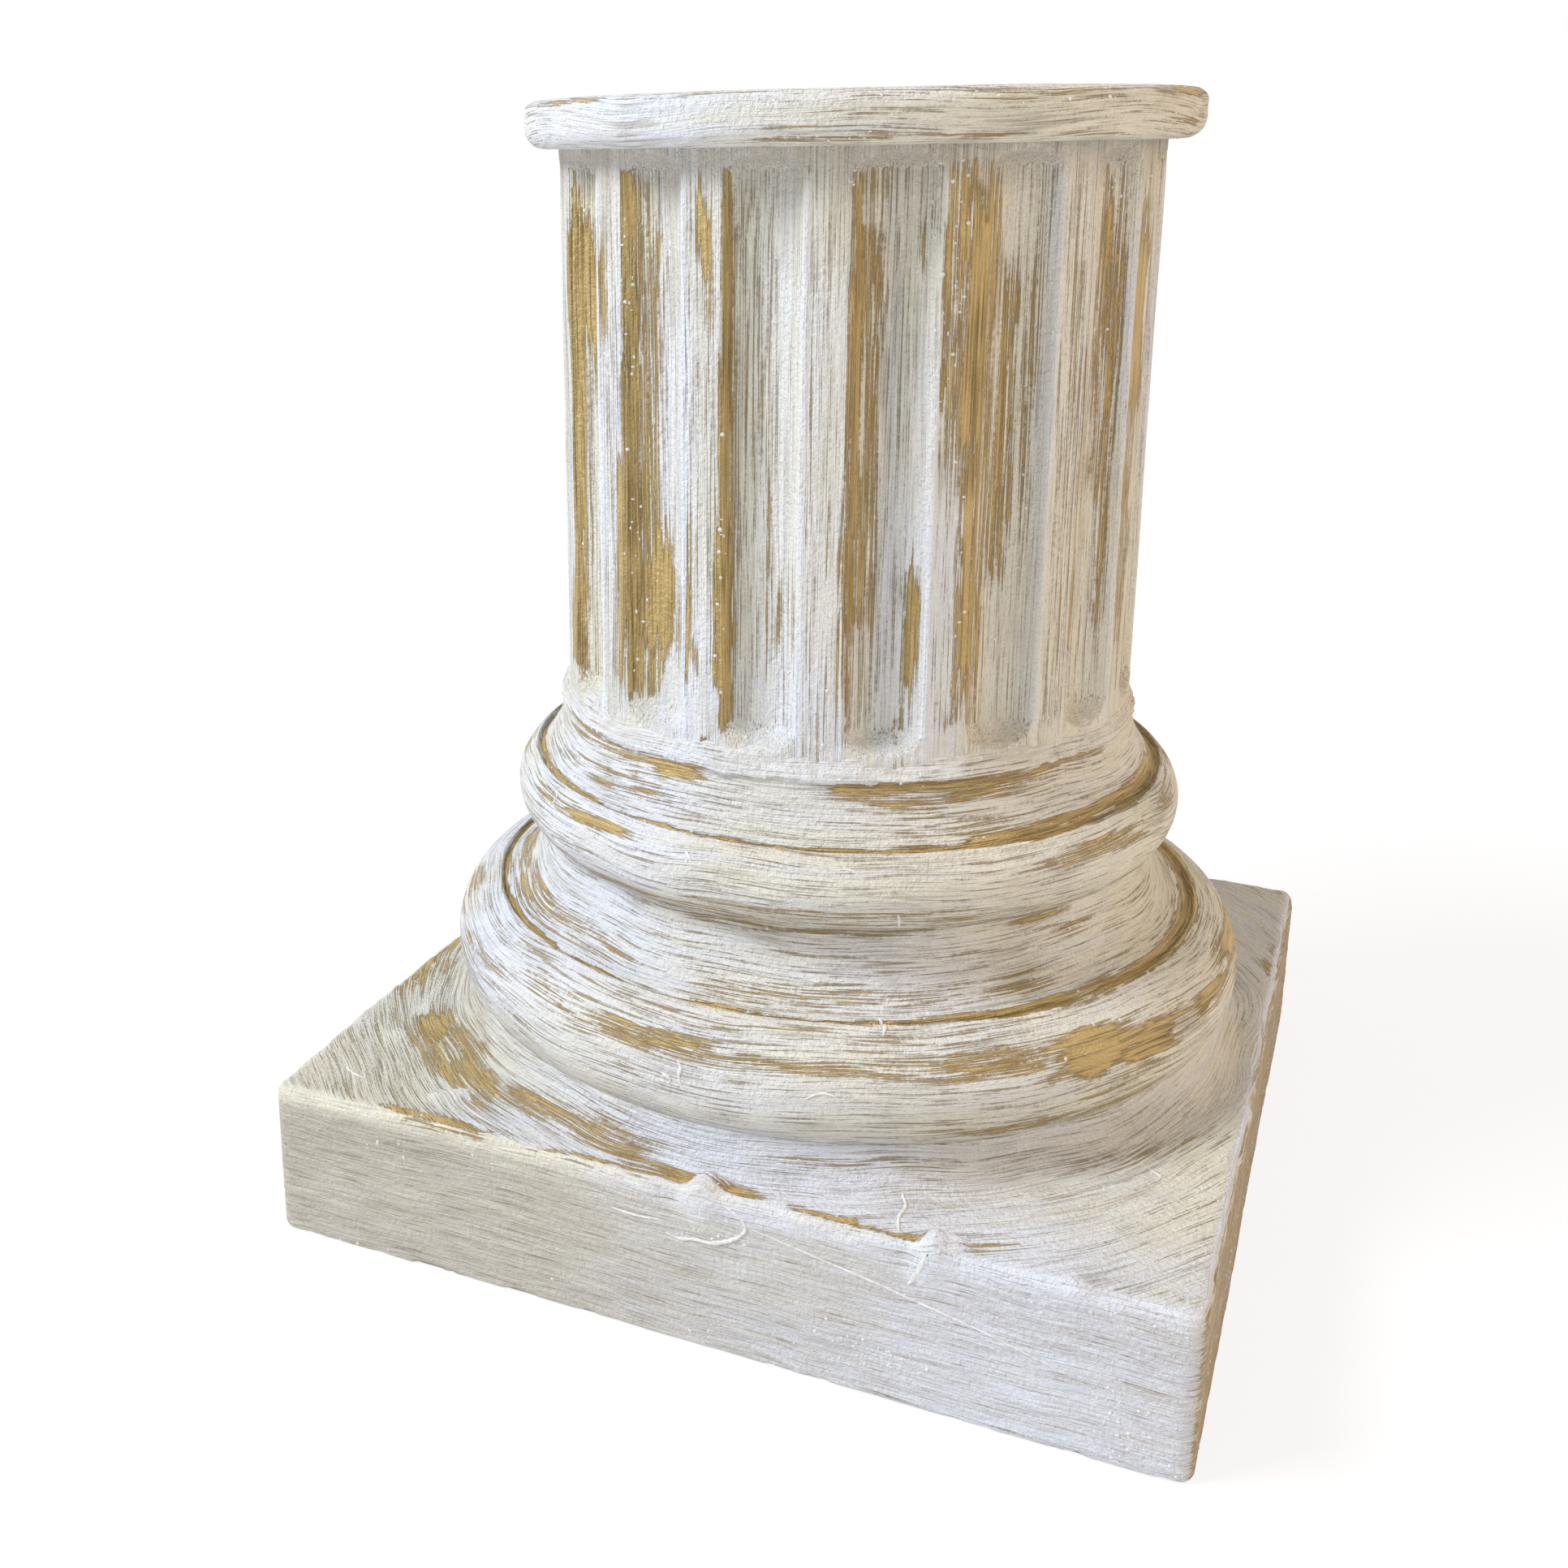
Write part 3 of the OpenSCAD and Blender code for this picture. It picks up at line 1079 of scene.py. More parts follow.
@dataclass
class BaseMouldings(Skin):
    """Turned base: lower torus, groove, scotia, upper torus, groove, band and ledge.

    A torus is the radius and height of its section's middle and the section's radius, and
    the scotia is the radius and height of its middle and its reach outwards and upwards.
    root is how far the skin runs on inwards and down into the plinth, and root_length the
    way there along the outline.
    """

    columns: int = 500
    crease: tuple[float, float] = (112.2, 57.0)
    root: tuple[float, float] = (1.5, 3.0)
    root_length: float = 3.3
    low_torus: tuple[float, float, float] = (98.0, 67.39, 17.6)
    scotia: tuple[float, float, float, float] = (100.4, 103.53, 11.8, 19.2)
    top_torus: tuple[float, float, float] = (83.6, 114.88, 12.4)
    groove_depth: float = 1.3
    band_hollow: float = 1.2
    band_steps: int = 24
    band_foot: tuple[float, float] = (88.2, 125.11)
    band_head: tuple[float, float] = (81.9, 139.61)
    ledge: tuple[tuple[float, float], ...] = (
        (82.5, 140.4), (82.8, 141.2), (82.3, 142.2), (81.6, 143.4), (81.0, 144.8),
        (80.5, 146.2), (79.6, 147.5), (77.5, 148.3))
    row_step: float = 0.8
    least_step: float = 0.3

    def outline(self) -> np.ndarray:
        """Draws the base's half outline, from the crease to inside the shaft.

        Returns:
            Radius and height of each point.
        """
        r, z, t = self.low_torus
        points = arc((r, z), (t, t), -36.2, 74.2, 52)
        points += self.groove(points[-1])
        r, z, out, up = self.scotia
        points += arc((r, z), (out, up), 270, 180, 38)
        r, z, t = self.top_torus
        points += arc((r, z), (t, t), -66.2, 55.6, 41)[1:]
        points += self.groove(points[-1])
        foot = np.array(self.band_foot)
        along = np.array(self.band_head) - foot
        inward = np.array([-along[1], along[0]]) / hypot(*along)
        for share in np.arange(self.band_steps + 1) / self.band_steps:
            bow = self.band_hollow * 4 * share * (1 - share)
            points.append(tuple(foot + along * share + inward * bow))
        return np.array(points + list(self.ledge))

    def groove(self, lip: tuple[float, float]) -> list[tuple[float, float]]:
        """The narrow groove inside a torus's upper lip."""
        r, z = lip
        return [(r - 0.5, z - 1.0), (r - 1.2, z - self.groove_depth), (r - 1.9, z - 1.0)]

    def rows(self) -> tuple[np.ndarray, np.ndarray]:
        """Spaces the outline's rows, none further apart than row_step.

        Returns:
            Radius and height of each row, and how far along the outline it lies.
        """
        points = self.outline()
        steps = np.hypot(*np.diff(points, axis=0).T)
        along = np.concatenate([[0.0], np.cumsum(steps)])
        marks = [along[0]]
        for start, end in zip(along[:-1], along[1:]):
            count = max(1, int(np.ceil((end - start) / self.row_step)))
            marks += list(np.linspace(start, end, count + 1)[1:])
        marks = np.array(marks)
        keep = np.concatenate([[True], np.diff(marks) > self.least_step])
        marks = marks[keep]
        rows = np.column_stack([np.interp(marks, along, points[:, 0]),
                                np.interp(marks, along, points[:, 1])])
        return rows, marks

    def spots(self, path: np.ndarray) -> np.ndarray:
        """Places points that are given as degrees round and a way along the outline.

        Args:
            path: The points, shape (n, 2).

        Returns:
            The points in space, shape (n, 3).
        """
        rows, marks = self.rows()
        along = path[:, 1] - SWEEP_LENGTH
        radius = np.interp(along, marks, rows[:, 0])
        turn = np.radians(path[:, 0])
        return np.column_stack([radius * np.sin(turn), -radius * np.cos(turn),
                                np.interp(along, marks, rows[:, 1])])

    def build(self, paint: bpy.types.Material) -> bpy.types.Object:
        """Makes the base.

        Args:
            paint: The finish.

        Returns:
            The finished piece.
        """
        rows, marks = self.rows()
        rows = np.concatenate([[np.subtract(self.crease, self.root)], rows])
        marks = np.concatenate([[-self.root_length], marks]) + SWEEP_LENGTH
        piece = MeshKit.turned("column_section.base", rows, self.columns)
        place, normal = MeshKit.read(piece)
        along = np.append(np.repeat(marks, self.columns), [marks[0], marks[-1]])
        degrees = bearing(place)
        strokes = around(place, along)
        surface = Surface(place, normal, strokes, u=degrees, v=along, soft=(7.0, 2.1),
                          rag=(3.0, 0.8), seed=200)
        return self.finish(piece, surface, self.coat(surface), paint)

    def coat(self, surface: Surface) -> Coat:
        """Works out the paint and the relief.

        Args:
            surface: Where the vertices are.

        Returns:
            The painted state.
        """
        place, strokes, degrees, along = surface.place, surface.strokes, surface.u, surface.v
        stray = 0.7 * fractal(place, 7.0, 87, 3)
        hollow = np.zeros(len(place))
        # The grooves' gold is narrow at the front and wide towards +X
        for middle, reach in GROOVES:
            wide = reach - 0.8 + 2.1 * smooth(degrees, 15.0, 60.0)
            hollow = np.maximum(hollow, smooth(np.abs(along - middle + stray) - wide, 0.7, -0.7))
        hollow *= 0.85 + 0.25 * fractal(place, 16.0, 89, 2)
        patches = surface.patches(BASE_PATCHES + behind(BASE_BEHIND, 5))
        bare = np.maximum(streaked(surface, patches, base=-0.06, sway=0.16), 0.92 * hollow)
        cloud = clouds(place)
        # The white is warmed towards +X as painted warm shade, and greyed on the faces that look
        # down, under the tori, as painted shade.
        tone = 0.4 + 0.35 * cloud + tints(strokes) + warm_shade_tint(place)
        wash = 0.08 + 0.12 * cloud + 0.15 * smooth(surface.normal[:, 2], -0.1, -0.6)
        lift = self.relief.lift(surface, bare)
        # Thick rough paint on the ledge, greyed in the low spots of its crust as painted shade
        rough = fractal(place, 2.2, 81, 3)
        uneven = 2.6 * fractal(place, 7.0, 88, 3)
        crust = smooth(along + uneven, LEDGE_AT - 0.8, LEDGE_AT + 0.8)
        lift += crust * (0.34 * rough + 0.5 * fractal(place, 9.0, 90, 2))
        bare -= 0.7 * crust * smooth(fractal(place, 12.0, 91, 2), -0.5, 0.0)
        wash += 0.25 * crust * smooth(rough, 0.2, -0.6)
        crumbs = 0.06 * smooth(np.abs(along - LEDGE_AT - 2.0), 4.0, 1.0) + PLAIN_CRUMBS
        crumbs = np.maximum(crumbs, surface.patches(BASE_CRUMBS))
        lift[-2:] = 0.0
        return Coat(bare, tone, wash, crumbs, lift)


@dataclass
class FlutedShaft(Skin):
    """Round shaft whose flutes close in a dome at each end; its form follows one rule.

    A flute is cut by a bar of bar_radius whose axis lies at bar_distance. lit_arris and
    shaded_arris are the degrees from a flute's middle to the painted highlight and the
    painted shade line by its arrises, gold_line and highlight_line those from a fillet's
    middle to the gold line and the painted highlight on it, and lines_middle is the height
    of the middles of both.
    """

    radius: float = 80.6
    flutes: int = 16
    bar_radius: float = 11.446
    bar_distance: float = 85.546
    turn: float = 1.75
    low: float = 146.51
    high: float = 294.01
    foot: float = 7.0
    head: float = 5.0
    start: float = 143.0
    end: float = 297.0
    arris: float = 0.5
    columns: int = 960
    rows: int = 101
    crowding: float = 0.5
    lit_arris: float = 7.3
    shaded_arris: float = -6.3
    gold_line: float = 4.2
    highlight_line: float = 4.1
    lines_middle: float = 222.0

    def tree(self) -> bpy.types.NodeTree:
        """Builds the node tree that bends a grid into the fluted shaft.

        Returns:
            The tree.
        """
        floats = ("Radius", "Pitch", "Bar Radius", "Bar Distance", "Turn", "Low", "High",
                  "Foot", "Head", "Start", "Height", "Arris", "Crowding")
        w = wiring_for("fluted_shaft_form", {"Columns": "Int", "Rows": "Int",
                                             **dict.fromkeys(floats, "Float")})
        w.add("grid", "GeometryNodeMeshGrid", {"Size X": 1.0, "Size Y": 1.0,
                                               "Vertices X": "Columns", "Vertices Y": "Rows"})
        w.add("place", "GeometryNodeInputPosition")
        w.add("across", "ShaderNodeSeparateXYZ", ("place",), output="X")
        w.add("up", "ShaderNodeSeparateXYZ", ("place",), output="Y")
        steps = (
            ("angle", "MULTIPLY", "across", tau),
            ("up_turn", "MULTIPLY", "up", tau),
            ("up_sine", "SINE", "up_turn"),
            ("crowd", "MULTIPLY", "up_sine", "Crowding"),
            ("crowded", "MULTIPLY_ADD", "crowd", 1.0 / tau, "up"),
            ("share_up", "ADD", "crowded", 0.5),
            ("z", "MULTIPLY_ADD", "share_up", "Height", "Start"),
            ("half_pitch", "MULTIPLY", "Pitch", 0.5),
            ("minus_half", "MULTIPLY", "Pitch", -0.5),
            ("turned", "SUBTRACT", "angle", "Turn"),
            ("local", "WRAP", "turned", "half_pitch", "minus_half"),
            ("foot_top", "ADD", "Low", "Foot"),
            ("foot_left", "SUBTRACT", "foot_top", "z"),
            ("foot_share", "DIVIDE", "foot_left", "Foot"),
            ("head_low", "SUBTRACT", "High", "Head"),
            ("head_left", "SUBTRACT", "z", "head_low"),
            ("head_share", "DIVIDE", "head_left", "Head"),
            ("end_share", "MAXIMUM", "foot_share", "head_share"),
            ("end_floor", "MAXIMUM", "end_share", 0.0),
            ("end_clamped", "MINIMUM", "end_floor", 1.0),
            ("end_square", "MULTIPLY", "end_clamped", "end_clamped"),
            ("bar_square", "SUBTRACT", 1.0, "end_square"),
            ("bar_r_square", "MULTIPLY", "Bar Radius", "Bar Radius"),
            ("bar", "MULTIPLY", "bar_square", "bar_r_square"),
            ("local_sine", "SINE", "local"),
            ("local_cosine", "COSINE", "local"),
            ("side", "MULTIPLY", "local_sine", "Bar Distance"),
            ("side_square", "MULTIPLY", "side", "side"),
            ("inside", "SUBTRACT", "bar", "side_square"),
            ("inside_floor", "MAXIMUM", "inside", 0.0),
            ("reach", "SQRT", "inside_floor"),
            ("middle", "MULTIPLY", "local_cosine", "Bar Distance"),
            ("deep", "SUBTRACT", "middle", "reach"),
            ("r", "SMOOTH_MIN", "deep", "Radius", "Arris"),
            ("cosine", "COSINE", "angle"),
            ("sine", "SINE", "angle"),
            ("x", "MULTIPLY", "cosine", "r"),
            ("y", "MULTIPLY", "sine", "r"),
            ("end_z", "ADD", "Start", "Height"),
            ("disc_columns", "SUBTRACT", "Columns", 1.0),
        )
        for name, operation, *values in steps:
            w.add(name, MATH, tuple(values), operation=operation)
        w.add("point", "ShaderNodeCombineXYZ", ("x", "y", "z"))
        w.add("wall", "GeometryNodeSetPosition", {"Geometry": "grid", "Position": "point"})
        w.add("disc", "GeometryNodeMeshCircle", {"Vertices": "disc_columns",
                                                 "Radius": "Radius"}, fill_type="NGON")
        for end, z in (("low", "Start"), ("high", "end_z")):
            w.add(end + "_place", "ShaderNodeCombineXYZ", {"Z": z})
            w.add(end + "_disc", "GeometryNodeTransform", {"Geometry": "disc",
                                                           "Translation": end + "_place"})
        w.add("low_lid", "GeometryNodeFlipFaces", {"Mesh": "low_disc"})
        join = w.add("joined", "GeometryNodeJoinGeometry", {"Geometry": "wall"})
        for name in ("low_lid", "high_disc"):
            w.tree.links.new(w.known[name], join.inputs["Geometry"])
        w.add("closed", "GeometryNodeMergeByDistance", {"Geometry": "joined",
                                                        "Distance": 0.001})
        return w.ending("closed")

    def build(self, paint: bpy.types.Material) -> bpy.types.Object:
        """Makes the shaft.

        Args:
            paint: The finish.

        Returns:
            The finished piece.
        """
        sizes = {"Columns": self.columns + 1, "Rows": self.rows, "Radius": self.radius,
                 "Pitch": tau / self.flutes, "Bar Radius": self.bar_radius,
                 "Bar Distance": self.bar_distance, "Turn": radians(self.turn),
                 "Low": self.low, "High": self.high, "Foot": self.foot, "Head": self.head,
                 "Start": self.start, "Height": self.end - self.start, "Arris": self.arris,
                 "Crowding": self.crowding, "Material": paint}
        piece = grown("column_section.shaft", self.tree(), sizes)
        place, normal = MeshKit.read(piece)
        degrees = bearing(place)
        height = place[:, 2]
        wander = 0.6 * fractal(place * [1, 1, 0.35], 26.0, 63, 2)
        strokes = np.stack([place[:, 0] + wander, place[:, 1] - wander,
                            height / Stretch.UPRIGHT.value], axis=1)
        surface = Surface(place, normal, strokes, u=degrees, v=height, soft=(1.2, 9.0),
                          rag=(0.5, 6.0), seed=300)
        return self.finish(piece, surface, self.coat(surface), paint)

    def coat(self, surface: Surface) -> Coat:
        """Works out the paint and the relief, flute by flute.

        Args:
            surface: Where the vertices are.

        Returns:
            The painted state.
        """
        place, strokes, degrees, height = surface.place, surface.strokes, surface.u, surface.v
        patches = SHAFT_PATCHES + self.arris_lines() + behind(SHAFT_BEHIND, 3)
        bare = streaked(surface, surface.patches(patches), base=0.04, sway=0.15)
        pitch = 360.0 / self.flutes
        local = (degrees - self.turn + 0.5 * pitch) % pitch - 0.5 * pitch
        ends = smooth(height, 291.0, 284.0)
        # Each flute's left wall, where the brush left a little more gold; below it is also warmed
        # and greyed as painted shade.
        sheltered = smooth(local, -0.5, -4.0) * smooth(local, -7.6, -6.4) * ends
        cloud = clouds(place)
        bare += 0.12 * sheltered * (bare < 0.5)
        # The white is warmed towards +X as painted warm shade, and on each flute's left wall as
        # painted shade.
        tone = 0.45 + 0.35 * cloud + tints(strokes, 2.6) + warm_shade_tint(place)
        tone += 0.4 * sheltered
        # A painted highlight along each lit arris: whiter, cooler and a little raised. A painted
        # shade line in brown film by the other arris.
        crest_highlight = smooth(np.abs(local - self.lit_arris), 1.0, 0.3) * ends
        shade_line = smooth(np.abs(local - self.shaded_arris), 0.8, 0.3) * ends
        # Greyer towards the cap: the cap's painted shadow over the top of the shaft.
        wash = 0.12 + 0.12 * cloud + 0.05 * sheltered + 0.45 * smooth(height, 280.0, 294.0)
        wash += 0.12 * noise(strokes, 1.5, 88) - 0.5 * crest_highlight
        tone -= 0.3 * crest_highlight
        bare += 0.28 * shade_line - 0.35 * crest_highlight * (bare < 0.6)
        lift = self.relief.lift(surface, bare) + 0.15 * crest_highlight
        # Thick rough paint over the flutes' feet
        crust = smooth(height + 3.5 * noise(place, 7.0, 86), 154.0, 149.0)
        lift += crust * 0.3 * fractal(place, 3.4, 83, 2)
        bare -= crust * smooth(fractal(place, 8.0, 84, 2), -0.7, -0.1)
        bare -= 0.3 * smooth(height, 289.0, 293.0)
        crumbs = np.maximum(surface.patches(SHAFT_CRUMBS), PLAIN_CRUMBS)
        lift[(height <= self.start + 0.01) | (height >= self.end - 0.01)] = 0.0
        return Coat(bare, tone, wash, crumbs, lift)

    def arris_lines(self) -> list[Patch]:
        """Gold along the sheltered arris of each fillet, and thick white along the other as a
        painted highlight.

        Returns:
            A patch for each line.
        """
        lines = []
        pitch = 360.0 / self.flutes
        draw = np.random.default_rng(11)
        for count in range(self.flutes):
            middle = self.turn + (count + 0.5) * pitch
            lines.append(Patch(u=middle + self.gold_line,
                               v=self.lines_middle + draw.uniform(-12, 12),
                               half_u=draw.uniform(0.35, 0.6), half_v=draw.uniform(55, 75),
                               amount=draw.uniform(0.6, 0.95)))
            # Thick white along the lit arris, as a painted highlight
            lines.append(Patch(u=middle - self.highlight_line,
                               v=self.lines_middle + draw.uniform(-15, 15),
                               half_u=0.5, half_v=draw.uniform(45, 70), amount=-0.5))
        return lines


@dataclass
class Cap(Skin):
    """Thin round cap with a rounded rim.

    The underside starts at inner, inside the shaft. room is left over the top for the
    relief, and flat_from is the way along the outline at which the flat top starts.
    """

    low: float = 295.01
    radius: float = 89.7
    low_edge: float = 5.0
    top_edge: float = 3.5
    inner: float = 76.0
    room: float = 0.3
    flat_from: float = 17.4
    columns: int = 560

    def outline(self) -> np.ndarray:
        """Draws the cap's half outline, from under it to the middle of its top.

        Returns:
            Radius and height of each point.
        """
        high = self.top - self.room
        under = self.radius - self.low_edge
        over = self.radius - self.top_edge
        side = np.linspace(self.low + self.low_edge, high - self.top_edge, 7)[1:-1]
        points = [(r, self.low) for r in np.linspace(self.inner, under, 10)]
        points += arc((under, self.low + self.low_edge), (self.low_edge, self.low_edge),
                      270, 360, 11)[1:]
        points += [(self.radius, z) for z in side]
        points += arc((over, high - self.top_edge), (self.top_edge, self.top_edge), 0, 90, 8)
        points += [(r, high) for r in np.linspace(over, 2.0, 90)[1:]]
        return np.array(points)

    def build(self, paint: bpy.types.Material) -> bpy.types.Object:
        """Makes the cap.

        Args:
            paint: The finish.

        Returns:
            The finished piece.
        """
        points = self.outline()
        piece = MeshKit.turned("column_section.cap", points, self.columns)
        place, normal = MeshKit.read(piece)
        steps = np.hypot(*np.diff(points, axis=0).T)
        marks = np.concatenate([[0.0], np.cumsum(steps)])
        marks = marks - (self.radius - self.low_edge - self.inner)
        along = np.append(np.repeat(marks, self.columns), [marks[0], marks[-1]])
        wander = 1.2 * fractal(place, 40.0, 64, 2)
        flat = np.stack([place[:, 0] / Stretch.FLAT.value, place[:, 1] + wander, place[:, 2]], 1)
        on_top = along > self.flat_from
        strokes = np.where(on_top[:, None], flat, around(place, along))
        rim = Surface(place, normal, strokes, u=bearing(place), v=along, soft=(4.0, 0.8),
                      rag=(2.5, 0.4), seed=400, turned=on_top, turned_strokes=flat)
        over = Surface(place, normal, strokes, u=place[:, 0], v=place[:, 1], soft=(6.0, 1.6),
                       rag=(4.0, 1.4), seed=420, round_about=False)
        return self.finish(piece, rim, self.coat(rim, over), paint)

    def coat(self, rim: Surface, over: Surface) -> Coat:
        """Works out the paint and the relief.

        Args:
            rim: The cap as its rim is brushed.
            over: The cap as its top is brushed.

        Returns:
            The painted state.
        """
        place, along = rim.place, rim.v
        patches = np.where(rim.turned, over.patches(CAP_TOP),
                           rim.patches(CAP_PATCHES + behind(CAP_BEHIND, 9)))
        bare = streaked(rim, patches, base=-0.15, sway=0.1)
        cloud = clouds(place)
        # The white is warmed towards +X as painted warm shade, and greyed under the rim and towards
        # +X as painted shade.
        tone = 0.5 + 0.3 * cloud + tints(rim.strokes) + 2.0 * warm_shade_tint(place)
        wash = 0.03 + 0.1 * cloud + 0.3 * smooth(along, 3.0, -2.0) + 0.002 * place[:, 0]
        crumbs = np.maximum(rim.patches(CAP_CRUMBS), PLAIN_CRUMBS)
        lift = self.relief.lift(rim, bare)
        crust = smooth(np.abs(along - 9.0), 9.0, 3.0)
        lift += 0.22 * crust * fractal(place, 5.0, 85, 3)
        lift[-2:] = 0.0
        near_top = place[:, 2] > self.top - self.room - 0.5
        lift = np.where(near_top, np.minimum(lift, self.room), lift)
        return Coat(bare, tone, wash, crumbs, lift)


def grown(name: str, tree: bpy.types.NodeTree, sizes: dict[str, Any],
          host: bpy.types.Mesh | None = None) -> bpy.types.Object:
    """Runs a node tree once and keeps its result as a plain mesh.

    Args:
        name: The new piece's name.
        tree: The geometry node tree.
        sizes: A value for each of its named inputs.
        host: The mesh that the tree works on, where it needs one.

    Returns:
        The new object, with no modifier.
    """
    carrier = bpy.data.objects.new(name + "_carrier", host or bpy.data.meshes.new("carrier"))
    modifier = carrier.modifiers.new("form", "NODES")
    modifier.node_group = tree
    for item in tree.interface.items_tree:
        if item.in_out == "INPUT" and item.name in sizes:
            modifier[item.identifier] = sizes[item.name]
    bpy.context.scene.collection.objects.link(carrier)
    graph = bpy.context.evaluated_depsgraph_get()
    mesh = bpy.data.meshes.new_from_object(carrier.evaluated_get(graph))
    mesh.name = name
    bpy.data.objects.remove(carrier)
    piece = bpy.data.objects.new(name, mesh)
    bpy.context.scene.collection.objects.link(piece)
    return piece


# ---------------------------------------------------------------- where the paint is thin, and a few places of painted shade


def behind(kinds: tuple[tuple[float, ...], ...], seed: int) -> list[Patch]:
    """Patches for the part of a surface that is away from the front, drawn at random.

    Args:
        kinds: Rows of count, lowest v, highest v, and the least and most of half_u, half_v
            and amount.
        seed: Fixes the draw.

    Returns:
        The patches, from 92 degrees on round to 300 degrees.
    """
    draw = np.random.default_rng(seed)
    found = []
    for count, v0, v1, hu0, hu1, hv0, hv1, a0, a1 in kinds:
        for _ in range(int(count)):
            found.append(Patch(draw.uniform(92, 300), draw.uniform(v0, v1),
                               draw.uniform(hu0, hu1), draw.uniform(hv0, hv1),
                               draw.uniform(a0, a1)))
    return found


# Ways along the base's outline, which is measured from the foot of the sweep
SWEEP_LENGTH = 16.3
LEDGE_AT = 126.6
GROOVES = ((52.4, 2.2), (107.6, 1.9))  # middle and half width of each bare band

SHAFT_PATCHES = placed(
    (-48.0, 261, 3.4, 15, 0.85), (-52.0, 165, 2.5, 10, 0.7), (-34.3, 262, 1.5, 14, 0.75),
    (-29.3, 190, 1.5, 26, 0.8), (-29.5, 168, 2.2, 9, 0.55), (-27.7, 222, 0.45, 70, 0.95),
    (-23.4, 182, 4.2, 17, 0.78), (-25.8, 204, 1.5, 13, 0.75), (-24.8, 240, 2.4, 50, 0.4),
    (-24.5, 161, 2.4, 8, 0.6), (-16.3, 178, 1.3, 12, 0.5), (-9.3, 273, 1.9, 9, 0.85),
    (-7.6, 264, 2.0, 11, 0.45), (-5.0, 222, 0.5, 70, 0.95), (-5.8, 183, 1.5, 25, 0.9),
    (-12.2, 183, 0.6, 22, 0.6), (-11.0, 169, 1.6, 4, 0.6), (-8.7, 146, 1.4, 3, 0.8),
    (4.4, 184, 1.0, 13, 0.72), (7.8, 178, 0.7, 12, 0.55), (2.0, 190, 0.35, 30, 0.4),
    (16.7, 220, 0.45, 68, 0.72), (15.9, 176, 0.5, 27, 0.6), (20.2, 232, 2.6, 54, 0.4),
    (29.0, 180, 1.0, 16, 0.85), (29.0, 271, 0.6, 6, 0.6), (27.5, 155, 1.3, 5, 0.5),
    (33.8, 256, 3.0, 32, 0.6), (37.8, 252, 1.8, 29, 0.95), (38.0, 194, 1.1, 34, 0.9),
    (36.5, 158, 1.6, 5, 0.42), (47.0, 228, 2.2, 42, 0.62), (51.2, 235, 1.2, 34, 0.42),
    # The patch at 41.6 degrees is partly painted shade: it browns the left wall of a flute.
    (58.5, 205, 2.2, 62, 0.24), (61.8, 245, 0.6, 40, 0.5), (41.6, 230, 2.4, 56, 0.52),
    (73.0, 245, 1.8, 42, 0.52), (74.8, 226, 0.8, 50, 0.6), (80.2, 250, 3.6, 25, 0.75),
    (42.4, 222, 1.5, 64, 0.38), (79.5, 196, 2.8, 26, 0.6), (46.5, 148.3, 3.6, 1.0, 0.9),
    (-18.5, 150.4, 3.2, 0.9, 0.6), (69.5, 149.0, 4.0, 1.0, 0.8), (-18.5, 156, 4.4, 6.0, -0.6),
    (-42.0, 165, 3.4, 15, -0.5), (-9.5, 157, 3.0, 6.5, -0.6), (6.5, 250, 1.4, 42, -0.45),
    (-17.5, 240, 2.4, 52, -0.4), (-34.0, 162, 3.0, 12, -0.5), (30.2, 240, 0.6, 46, -0.5),
    (4.0, 156, 3.0, 7, -0.3),
)
SHAFT_BEHIND = (
    (22, 165, 285, 1.2, 3.4, 10, 32, 0.5, 0.9),
    (16, 165, 285, 0.6, 1.2, 12, 50, 0.6, 0.95),
)

BASE_PATCHES = placed(
    (-45, 124, 7, 2.0, 0.55), (-28, 124.5, 8, 2.2, 0.65), (-14.5, 124.4, 5.5, 2.8, 0.98),
    (36, 125, 23, 1.8, 0.78), (29, 120.5, 9, 2.6, 0.5), (45, 122.2, 9, 1.8, 0.62),
    (66, 125, 9, 1.6, 0.65), (-38, 115, 10, 2.6, 0.4), (-20, 117, 6, 4.0, 0.35),
    (40, 114.5, 16, 3.0, 0.36), (70, 110.6, 30, 1.6, 0.9), (-25, 100.6, 7.5, 1.7, 0.9),
    (-39, 100.4, 6, 2.2, 0.5), (62, 98.3, 12, 2.2, 0.62), (86, 100, 7, 3.0, 0.5),
    # The patches at ways 78.4 to 88.5, under the upper torus, are painted shade in brown film.
    (15, 88.5, 22, 0.9, 0.45), (38, 86, 18, 1.6, 0.45), (15, 82.5, 60, 4.0, 0.42),
    (-2, 78.4, 36, 1.7, 0.5), (52, 77, 7, 0.9, 0.6), (-40, 60, 24, 4.6, 0.42),
    (15, 60, 21, 4.2, 0.33), (48, 61, 6, 4.2, 0.42), (60.5, 72.5, 5, 1.3, 0.5),
    (-7, 38.2, 11, 3.6, 0.62), (-24, 39, 9, 3.6, 0.46), (-44, 35.5, 10, 2.0, 0.45),
    (16, 38, 12, 2.0, 0.55), (37, 38, 9, 4.2, 0.62), (52, 36.5, 6.5, 5.6, 0.98),
    (62, 34, 7, 4.2, 0.92), (77, 34.4, 6.5, 3.0, 0.88), (90, 40, 5, 4.5, 0.5),
    (58, 25, 8, 4.5, 0.32), (40, 19.8, 9, 1.7, 0.72), (56, 19, 9, 1.4, 0.45),
    (-65, 41, 5, 4.0, 0.55), (2, 45.5, 42, 2.4, 0.26), (-6, 29, 26, 3.6, -0.3),
    (6, 113.5, 12, 8, -0.3), (-10, 71, 30, 4.0, -0.3), (6, 95, 26, 3.6, -0.2),
)
